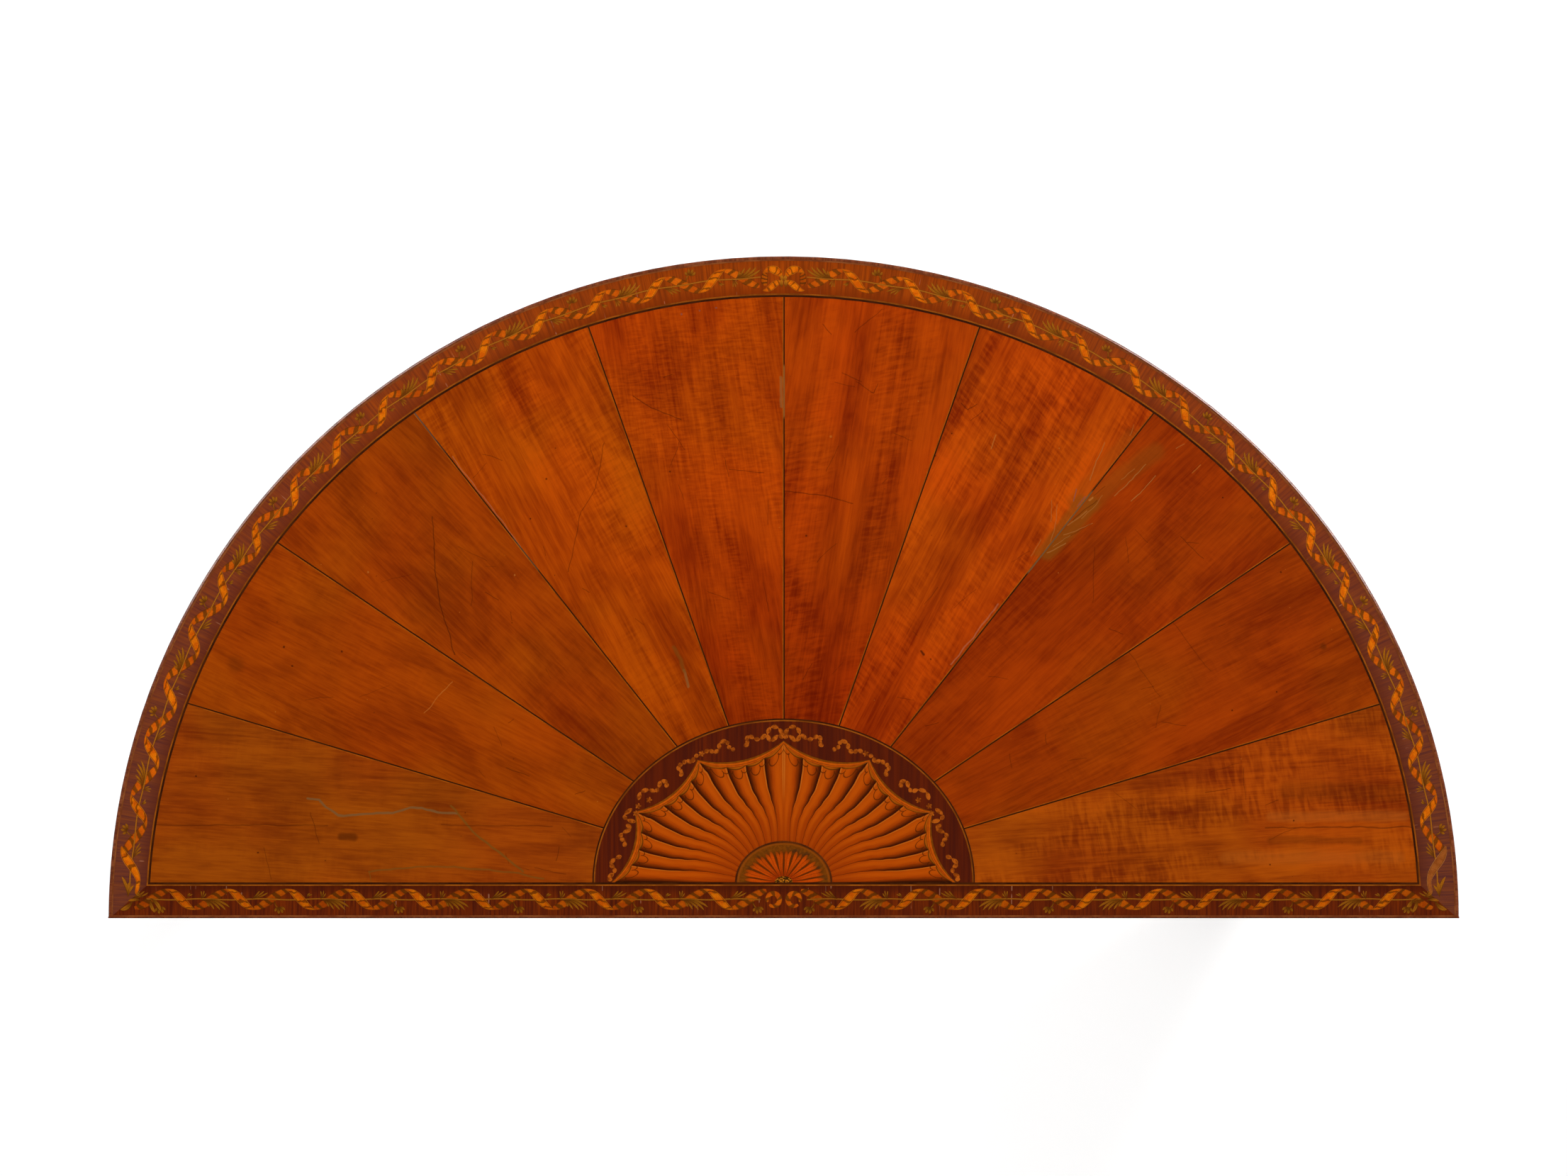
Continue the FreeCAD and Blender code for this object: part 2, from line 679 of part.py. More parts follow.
def patera_plate(name, half_width, rise):
    return half_plate(name, FIELD_Y, half_width, rise, FIELD_Y, VENEER_Z, "Sizes.veneer")


patera_half_width = sizes("shell_half_width", "ground_side", "patera_box", "patera_ebony")
patera_rise = sizes("shell_rise", "ground_front", "patera_box", "patera_ebony")
patera_plates = []
for number, inset in enumerate(("0", "Sizes.patera_ebony", sizes("patera_ebony", "patera_box")), start=1):
    patera_plates.append(patera_plate(
        f"patera_plate_{number}", f"{patera_half_width} - ({inset})", f"{patera_rise} - ({inset})",
    ))
keep(cut("patera_ebony_arc", patera_plates[0], patera_plates[1]))
keep(cut("patera_box_arc", patera_plates[1], patera_plates[2]))


def swag_bites(name, extra):
    """Round bites between the points of the shell, each hanging by the swag's drop."""
    bites = []
    for number in range(SWAG_COUNT):
        ends = []
        for turn in (number, number + 1):
            angle = HALF_TURN * turn / SWAG_COUNT
            ends.append((f"Sizes.shell_half_width * cos({angle})", f"Sizes.shell_rise * sin({angle})"))
        (x1, y1), (x2, y2) = ends
        span = f"hypot(({x2}) - ({x1}); ({y2}) - ({y1}))"
        radius = f"(({span} / 2)^2 + Sizes.swag_drop^2) / (2 * Sizes.swag_drop)"
        reach = f"({radius} - Sizes.swag_drop)"
        bite = doc.addObject("Part::Cylinder", f"{name}_{number + 1}")
        bind(bite, {
            "Radius": f"{radius} + ({extra})",
            "Height": "Sizes.veneer",
            "Placement.Base.x": f"(({x1}) + ({x2})) / 2 + {reach} * (({y2}) - ({y1})) / {span}",
            "Placement.Base.y": f"{FIELD_Y} - (({y1}) + ({y2})) / 2 - {reach} * (({x1}) - ({x2})) / {span}",
            "Placement.Base.z": VENEER_Z,
        })
        bites.append(bite)
    return fuse(name, bites)


bites = swag_bites("swag_bites", "0")
line_bites = swag_bites("swag_line_bites", "Sizes.swag_line")
keep(common("patera_ground", patera_plates[2], bites))
scalloped = cut("patera_scalloped", patera_plates[2], bites)
keep(common("patera_swag_line", scalloped, line_bites))

rosette_plates = [
    patera_plate("rosette_outer", "Sizes.rosette_half_width", "Sizes.rosette_rise"),
    patera_plate("rosette_inner", "Sizes.rosette_half_width - Sizes.rosette_line",
                 "Sizes.rosette_rise - Sizes.rosette_line"),
]
shell = cut("patera_shell", cut("patera_fluted", scalloped, line_bites), rosette_plates[0])

# Flutes of the shell, one piece of shaded veneer each. Their joints run in an S, out from the
# rosette to the swags, and are straight only along the back and on the middle line.
flutes_per_side = SWAG_COUNT * FLUTES_PER_SWAG // 2
field_y = sheet.top_depth / 2 - sum(getattr(sheet, name) for name in back_insets)


def flute_joint(number, side):
    """The line between two flutes, counted up from the back to the middle line."""
    straight = number in (0, flutes_per_side)
    points = []
    for step in range(FLUTE_STEPS + 1):
        along = step / FLUTE_STEPS
        share = FLUTE_START + (FLUTE_END - FLUTE_START) * along
        sway = 0.0 if straight else sheet.flute_sway * math.sin(2 * math.pi * along)
        bearing = math.radians(HALF_TURN / 2 * number / flutes_per_side + sway)
        points.append(FreeCAD.Vector(
            side * sheet.shell_half_width * share * math.cos(bearing),
            field_y - sheet.shell_rise * share * math.sin(bearing),
            sheet.table_height - sheet.veneer,
        ))
    curve = Part.BSplineCurve()
    curve.interpolate(points)
    return curve.toShape()


def flute_blank(name, number, side):
    """A flute before its ends are cut to the swag and to the rosette."""
    lower = flute_joint(number, side)
    upper = flute_joint(number + 1, side)
    ends = []
    for place in (0, -1):
        ends.append(Part.LineSegment(lower.Vertexes[place].Point, upper.Vertexes[place].Point).toShape())
    outline = Part.Wire(Part.__sortEdges__([lower, ends[1], upper, ends[0]]))
    blank = doc.addObject("Part::Feature", name)
    blank.Shape = Part.Face(outline).extrude(FreeCAD.Vector(0, 0, sheet.veneer))
    return blank


for side_name, side in (("right", 1), ("left", -1)):
    flutes = []
    for number in range(flutes_per_side):
        name = f"flute_{side_name}_{number + 1}"
        flutes.append(common(name, shell, flute_blank(f"{name}_blank", number, side)))
    keep(group(f"patera_shell_{side_name}", flutes))
keep(cut("rosette_line", rosette_plates[0], rosette_plates[1]))
rosette_plates[1].Label = "rosette_ground"
keep(rosette_plates[1])

# Rays, an ebony line with a box line beside it, set out evenly along the curve of the field
open_field = cut("field_open", field, patera_plates[0])
field_half_width = f"(Sizes.top_half_width - ({sizes(*curve_insets)}))"
field_rise = f"(Sizes.top_depth - ({sizes(*curve_insets)}) - ({sizes(*back_insets)}))"


def ray_angle(number):
    turn = HALF_TURN * number / PANEL_COUNT
    return f"atan2({field_rise} * sin({turn}); {field_half_width} * cos({turn}))"


def ray_lines(name, width, low_side):
    strips = []
    for number in range(1, PANEL_COUNT):
        strip = doc.addObject("Part::Box", f"{name}_strip_{number}")
        bind(strip, {
            "Length": "Sizes.top_half_width + Sizes.top_depth",
            "Width": width,
            "Height": "Sizes.veneer",
            "Placement.Base.y": low_side,
        })
        turned = group(f"{name}_turned_{number}", [strip])
        bind(turned, {
            "Placement.Base.y": FIELD_Y,
            "Placement.Base.z": VENEER_Z,
            "Placement.Rotation.Angle": f"-{ray_angle(number)}",
        })
        strips.append(turned)
    return fuse(f"{name}_strips", strips)


ray_width = sizes("ray_ebony", "ray_box")
ebony_strips = ray_lines("ray_ebony", "Sizes.ray_ebony", f"-({ray_width}) / 2")
box_strips = ray_lines("ray_box", "Sizes.ray_box", f"Sizes.ray_ebony - ({ray_width}) / 2")
keep(common("ray_ebony_lines", open_field, ebony_strips))
keep(common("ray_box_lines", open_field, box_strips))

# Satinwood panels between the rays
panelled = cut("field_panelled", open_field, fuse("ray_strips", [ebony_strips, box_strips]))
for number in range(PANEL_COUNT):
    name = f"satinwood_panel_{number + 1:02d}"
    start = ray_angle(number)
    sweep = f"{ray_angle(number + 1)} - {start}"
    sector = pie(f"{name}_sector", FIELD_Y, VENEER_Z, "Sizes.veneer", start, sweep)
    keep(common(name, panelled, sector))

doc.recompute()

for thing in doc.Objects:
    if "Invalid" in thing.State or "Error" in thing.State:
        raise RuntimeError(f"{thing.Name} did not build: {thing.State}")
for piece in sub_parts:
    if piece.Shape.isNull() or not piece.Shape.isValid() or not piece.Shape.Solids:
        raise RuntimeError(f"{piece.Label} has no sound solid")

os.makedirs("parts", exist_ok=True)
for piece in sub_parts:
    piece.Shape.exportStep(f"parts/{piece.Label}.step")
print(len(sub_parts), "pieces written")
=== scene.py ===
from bisect import bisect_left
from math import atan2, cos, dist, hypot, log, pi, radians, sin, sqrt
import random

import bpy
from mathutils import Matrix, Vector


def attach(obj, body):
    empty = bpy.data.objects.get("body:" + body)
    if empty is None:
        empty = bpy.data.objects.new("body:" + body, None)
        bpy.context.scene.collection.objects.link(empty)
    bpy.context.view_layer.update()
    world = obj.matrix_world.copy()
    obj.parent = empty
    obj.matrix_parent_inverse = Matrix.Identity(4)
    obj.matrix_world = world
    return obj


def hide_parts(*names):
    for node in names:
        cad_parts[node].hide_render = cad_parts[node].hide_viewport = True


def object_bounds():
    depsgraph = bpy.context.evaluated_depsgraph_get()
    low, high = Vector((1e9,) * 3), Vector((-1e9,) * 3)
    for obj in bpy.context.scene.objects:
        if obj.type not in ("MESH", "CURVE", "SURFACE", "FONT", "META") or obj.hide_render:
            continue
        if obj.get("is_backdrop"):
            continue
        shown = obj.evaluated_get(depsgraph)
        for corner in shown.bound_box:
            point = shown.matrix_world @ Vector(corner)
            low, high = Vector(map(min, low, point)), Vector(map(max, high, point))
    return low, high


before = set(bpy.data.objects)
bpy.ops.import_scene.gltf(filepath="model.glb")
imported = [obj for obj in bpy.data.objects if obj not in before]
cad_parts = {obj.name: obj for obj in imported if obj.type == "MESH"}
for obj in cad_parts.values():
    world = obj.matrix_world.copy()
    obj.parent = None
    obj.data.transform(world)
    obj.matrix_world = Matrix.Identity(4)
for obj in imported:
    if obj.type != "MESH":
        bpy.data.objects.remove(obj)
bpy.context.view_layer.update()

# Core boards, frieze bricks, back rail, brace and glue blocks
# Baltic pine, sawn and planed by hand, glued up edge to edge or brick on brick and never polished.
# It has turned a dull brown with age and shows only from below and behind.


def srgb(red, green, blue):
    """A colour as a paint chart gives it, 0 to 255, as the shader wants it."""
    made = []
    for part in (red, green, blue):
        part = part / 255
        made.append(part / 12.92 if part <= 0.04045 else ((part + 0.055) / 1.055) ** 2.4)
    return (*made, 1.0)


def put(value, socket):
    """Links a socket into another one, or sets that one when the value is plain."""
    if isinstance(value, bpy.types.NodeSocket):
        socket.id_data.links.new(value, socket)
    else:
        socket.default_value = value


def add(kind, *values):
    """A new node in the tree of the sockets that it takes its values from."""
    tree = next(value.id_data for value in values if isinstance(value, bpy.types.NodeSocket))
    return tree.nodes.new(f"ShaderNode{kind}")


def calc(kind, first, second=0.0, third=0.0):
    step = add("Math", first, second, third)
    step.operation = kind
    for socket, value in zip(step.inputs, (first, second, third)):
        put(value, socket)
    return step.outputs[0]


def times(first, second):
    return calc("MULTIPLY", first, second)


def vector(kind, first, second=(0.0, 0.0, 0.0)):
    step = add("VectorMath", first)
    step.operation = kind
    put(first, step.inputs[0])
    if kind != "LENGTH":
        put(second, step.inputs[1])
    return step.outputs["Value" if kind in ("LENGTH", "DOT_PRODUCT") else "Vector"]


def noise(place, stretch, detail=2.0, roughness=0.5, warp=0.0):
    """Cloudy noise, squeezed by so many cycles a metre along each axis."""
    cloud = add("TexNoise", place)
    put(vector("MULTIPLY", place, stretch), cloud.inputs["Vector"])
    for socket, value in (("Scale", 1.0), ("Detail", detail), ("Roughness", roughness), ("Distortion", warp)):
        cloud.inputs[socket].default_value = value
    return cloud.outputs[0]


def rise(value, low, high):
    """0 below low, 1 above high and a soft step between them."""
    step = add("MapRange", value)
    step.interpolation_type = "SMOOTHSTEP"
    for socket, given in zip(step.inputs, (value, low, high)):
        put(given, socket)
    return step.outputs[0]


def blend(share, first, second, kind="MIX"):
    step = add("Mix", share, first, second)
    step.data_type = "RGBA"
    step.blend_type = kind
    for number, value in ((0, share), (6, first), (7, second)):
        put(value, step.inputs[number])
    return step.outputs[2]


def stain(share, depth, wood, colour):
    """The wood taken so deep towards a colour where the share is 1."""
    return blend(times(share, depth), wood, colour)


def coordinates(tree, name="Object"):
    return tree.nodes.new("ShaderNodeTexCoord").outputs[name]


def relief(shader, height, depth):
    bump = add("Bump", height)
    bump.inputs["Strength"].default_value = 1.0
    bump.inputs["Distance"].default_value = depth
    put(height, bump.inputs["Height"])
    put(bump.outputs[0], shader.inputs["Normal"])


def material(name, roughness, coat=0.0, specular=0.5):
    made = bpy.data.materials.new(name)
    made.use_nodes = True
    shader = made.node_tree.nodes["Principled BSDF"]
    shader.inputs["Roughness"].default_value = roughness
    shader.inputs["Coat Weight"].default_value = coat
    shader.inputs["Coat Roughness"].default_value = 0.12
    shader.inputs["Specular IOR Level"].default_value = specular
    return made, made.node_tree, shader


def dress(names, finish):
    for name in names:
        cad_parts[name].material_slots[0].material = finish


def pine(name, stretch):
    made, tree, shader = material(name, 0.72, specular=0.25)
    place = coordinates(tree)
    rings = noise(place, stretch, 3.0, 0.6, 0.4)
    fibre = noise(place, tuple(9 * part for part in stretch), 3.0, 0.6)
    damp = noise(place, (4.0, 4.0, 6.0), 3.0, 0.6)
    wood = blend(rise(rings, 0.36, 0.66), srgb(176, 124, 72), srgb(128, 80, 42))
    wood = blend(rise(damp, 0.45, 0.75), wood, srgb(104, 66, 38))
    wood = stain(rise(fibre, 0.5, 0.68), 0.45, wood, srgb(82, 50, 28))
    put(wood, shader.inputs["Base Color"])
    relief(shader, fibre, 0.0004)
    return made


pine_along = pine("pine_along", (3.0, 60.0, 60.0))
pine_across = pine("pine_across", (60.0, 3.0, 60.0))
pine_bricks = pine("pine_bricks", (12.0, 12.0, 130.0))
dress(["top_board_back", "top_board_middle", "top_board_front", "back_rail", "glue_blocks"], pine_along)
dress(["centre_brace"], pine_across)
dress([f"frieze_course_{number}" for number in range(1, 5)], pine_bricks)

# Pocket screws
# Hand-filed iron, driven up through gouged pockets in the rails into the top, dark and dry with rust.
iron, tree, shader = material("old_iron", 0.55, specular=0.5)
rust = noise(coordinates(tree), (420.0, 420.0, 420.0), 4.0, 0.6)
rusted = blend(rise(rust, 0.42, 0.62), srgb(52, 46, 44), srgb(96, 56, 34))
put(rusted, shader.inputs["Base Color"])
shader.inputs["Metallic"].default_value = 0.6
relief(shader, rust, 0.0003)
dress(["top_screws"], iron)

# Satinwood of the legs and frieze
# Sawn veneer over pine, glued with hot hide glue and French polished. The grain stands upright in the
# legs and runs round the frieze; ripple crosses it where the tree grew curly.
CENTRE_Y = 0.299
FRIEZE_RADIUS = 0.57


def split(place):
    """The three parts of a place."""
    parts = add("SeparateXYZ", place)
    put(place, parts.inputs[0])
    return parts.outputs


def join(x, y, z=0.0):
    place = add("CombineXYZ", x, y)
    for value, socket in zip((x, y, z), place.inputs):
        put(value, socket)
    return place.outputs[0]


satinwood = bpy.data.node_groups.new("satinwood_figure", "ShaderNodeTree")
for socket, kind in (
    ("Along", "Vector"), ("Light", "Color"), ("Dark", "Color"), ("Bands", "Float"), ("Cloud", "Float"),
    ("Ripple", "Float"), ("Pace", "Vector"), ("Lean", "Float"),
):
    satinwood.interface.new_socket(socket, in_out="INPUT", socket_type=f"NodeSocket{kind}")
for socket, kind in (("Color", "Color"), ("Height", "Float")):
    satinwood.interface.new_socket(socket, in_out="OUTPUT", socket_type=f"NodeSocket{kind}")
given = satinwood.nodes.new("NodeGroupInput")
result = satinwood.nodes.new("NodeGroupOutput")
along = given.outputs["Along"]
parts = split(along)
sheared = calc("MULTIPLY_ADD", parts[1], given.outputs["Lean"], parts[0])
leaned = join(sheared, parts[1], parts[2])
value = 0.5
streaks = given.outputs["Bands"]
for stretch, detail, warp, share in (
    ((2.0, 46.0, 46.0), 2.0, 0.3, streaks),
    ((11.0, 22.0, 22.0), 3.0, 0.6, given.outputs["Cloud"]),
    ((4.0, 150.0, 150.0), 3.0, 0.2, calc("MULTIPLY_ADD", streaks, 0.25, 0.03)),
    ((9.0, 520.0, 520.0), 2.0, 0.1, calc("MULTIPLY_ADD", streaks, 0.25, 0.08)),
    ((46.0, 360.0, 360.0), 2.0, 0.2, 0.17),
):
    layer = rise(noise(along, stretch, detail, 0.55, warp), 0.3, 0.7)
    value = calc("MULTIPLY_ADD", calc("SUBTRACT", layer, 0.5), share, value)
bars = rise(noise(leaned, given.outputs["Pace"], 2.0, 0.5, 0.5), 0.3, 0.7)
curly = rise(noise(along, (7.0, 26.0, 26.0), 2.0, 0.5), 0.38, 0.6)
bars = times(calc("SUBTRACT", bars, 0.5), curly)
value = calc("MULTIPLY_ADD", bars, given.outputs["Ripple"], value)
dark_line = rise(noise(along, (2.5, 210.0, 210.0), 1.0, 0.5), 0.64, 0.74)
value = calc("MULTIPLY_ADD", dark_line, -0.08, value)
pores = noise(along, (60.0, 1300.0, 1300.0), 2.0, 0.6)
value = calc("MULTIPLY_ADD", calc("SUBTRACT", pores, 0.5), 0.35, value)
wood = blend(rise(value, -0.15, 1.15), given.outputs["Dark"], given.outputs["Light"])
put(wood, result.inputs["Color"])
put(pores, result.inputs["Height"])


def satin(name, colour, place, bands=0.4, cloud=0.3, ripple=0.3, pace=(300.0, 60.0, 60.0), lean=0.0):
    """Polished satinwood round one colour; place(tree) gives its grain, X along it and Y across."""
    made, tree, shader = material(name, 0.23, 0.1, 0.3)
    mean = srgb(*colour)
    figure = tree.nodes.new("ShaderNodeGroup")
    figure.node_tree = satinwood
    put(place(tree), figure.inputs["Along"])
    for socket, value in (
        ("Light", (mean[0] * 1.55, mean[1] * 1.9, mean[2] * 1.4, 1.0)),
        ("Dark", (mean[0] * 0.5, mean[1] * 0.34, mean[2] * 0.7, 1.0)),
        ("Bands", bands), ("Cloud", cloud), ("Ripple", ripple), ("Pace", pace), ("Lean", lean),
    ):
        figure.inputs[socket].default_value = value
    put(figure.outputs["Color"], shader.inputs["Base Color"])
    relief(shader, figure.outputs["Height"], 0.00004)
    return made, tree, shader, figure.outputs["Color"]


def upright(tree):
    parts = split(coordinates(tree))
    return join(parts[2], parts[0], parts[1])


leg_wood = satin("satinwood_upright", (156, 74, 16), upright)[0]
dress(["leg_front_left", "leg_front_right", "leg_back_left", "leg_back_right"], leg_wood)


def around(tree):
    """Grain that follows the curve of the front, with height across it."""
    parts = split(vector("SUBTRACT", coordinates(tree), (0.0, CENTRE_Y, 0.0)))
    turn = calc("ARCTAN2", parts[0], times(parts[1], -1.0))
    return join(times(turn, FRIEZE_RADIUS), parts[2])


frieze_wood = satin("satinwood_frieze", (160, 74, 15), around, ripple=0.5)[0]
dress(["frieze_panel_left", "frieze_panel_centre", "frieze_panel_right"], frieze_wood)

# Crossbanding of the frieze, lipping and back strip of the top
# Kingwood, a purplish brown rosewood, its grain set square to the edge. The nosing is worn paler.
POLISHED = 0.25


def crossband(name, base, dark, glow, place, run=9.0, coat=0.1):
    """Kingwood whose dark lines run along the second axis of the place it is given."""
    made, tree, shader = material(name, POLISHED, coat, 0.3)
    spot = place(tree)
    lines = rise(noise(spot, (420.0, run, run), 3.0, 0.65, 0.1), 0.36, 0.68)
    bands = rise(noise(spot, (75.0, run * 0.5, run * 0.5), 2.0, 0.5, 0.1), 0.34, 0.66)
    wood = blend(bands, glow, base)
    wood = stain(lines, 0.75, wood, dark)
    put(wood, shader.inputs["Base Color"])
    relief(shader, lines, 0.00003)
    return made, tree, shader, wood


lipping = crossband(
    "kingwood_lipping", srgb(122, 58, 30), srgb(84, 36, 18), srgb(140, 74, 42), around, coat=1.0)[0]
dress(["edge_lipping", "frieze_banding"], lipping)
strip = crossband("kingwood_strip", srgb(98, 44, 18), srgb(70, 28, 10), srgb(112, 54, 24), coordinates)[0]
dress(["back_edge_strip"], strip)

# Box and ebony lines
# Thin slips of boxwood and of dyed ebony, shaved to one thickness and let in beside each other.


def line_wood(name, light, dark, roughness=POLISHED):
    made, tree, shader = material(name, roughness, 0.1, 0.3)
    spot = coordinates(tree)
    blotch = rise(noise(spot, (55.0, 55.0, 55.0), 3.0, 0.6), 0.35, 0.66)
    grain = noise(spot, (700.0, 700.0, 700.0), 2.0, 0.5)
    wood = blend(blotch, light, dark)
    wood = stain(rise(grain, 0.5, 0.7), 0.4, wood, dark)
    put(wood, shader.inputs["Base Color"])
    relief(shader, grain, 0.00003)
    return made, tree, shader, wood


box_line = line_wood("boxwood_line", srgb(156, 80, 16), srgb(118, 56, 10))[0]
edge_line = line_wood("boxwood_edge_line", srgb(142, 80, 38), srgb(112, 54, 24))[0]
ebony_line = line_wood("ebony_line", srgb(46, 20, 5), srgb(70, 32, 8))[0]
dress(["border_box_line", "patera_box_arc", "frieze_box_lines"], box_line)
dress(["outer_box_line"], edge_line)
dress(["border_ebony_line", "patera_ebony_arc"], ebony_line)

# Satinwood panels of the top
# Ten wedges cut with the grain running out from the patera, laid on the core with hot glue and polished.
# Each sheet has its own tone; the middle ones are redder and curlier. A row of PANELS is the colour, streaks,
# cloud, ripple, its pace and lean, the scorch near the patera and the bearing. WEAR is in millimetres.
FAN_CENTRE = (0.0, 0.2666, 0.0)
FIELD = (0.573, 0.561)
SCRATCHED = (561, 510)
WEDGE = 18
PANELS = (
    ((141, 57, 6), 0.10, 0.32, 0.06, (240.0, 40.0, 40.0), 0.0, 0.0, 4),
    ((147, 55, 3), 0.08, 0.34, 0.05, (240.0, 40.0, 40.0), 0.0, 0.1, 27),
    ((145, 53, 3), 0.10, 0.34, 0.06, (240.0, 40.0, 40.0), 0.1, 0.2, 45),
    ((164, 61, 3), 0.28, 0.36, 0.22, (300.0, 55.0, 55.0), 0.1, 0.5, 63),
    ((163, 55, 3), 0.24, 0.38, 0.28, (420.0, 75.0, 75.0), -0.1, 1.0, 81),
    ((154, 49, 3), 0.34, 0.38, 0.33, (270.0, 55.0, 55.0), 0.35, 1.0, 99),
    ((166, 57, 4), 0.34, 0.36, 0.35, (270.0, 55.0, 55.0), -0.35, 0.6, 117),
    ((144, 47, 3), 0.14, 0.32, 0.10, (300.0, 50.0, 50.0), 0.1, 0.1, 135),
    ((142, 48, 3), 0.10, 0.32, 0.08, (260.0, 45.0, 45.0), 0.1, 0.1, 153),
    ((150, 58, 6), 0.24, 0.40, 0.36, (220.0, 40.0, 40.0), 0.1, 0.0, 176),
)
DARK, STAIN, OLIVE, TORN = srgb(58, 20, 3), srgb(86, 34, 4), srgb(118, 72, 20), srgb(134, 70, 14)
PALE, FILLER, WHITE = srgb(184, 108, 40), srgb(138, 92, 44), srgb(196, 150, 108)
CHIP, PUTTY, FIBRE = srgb(112, 78, 66), srgb(120, 82, 42), srgb(164, 104, 46)
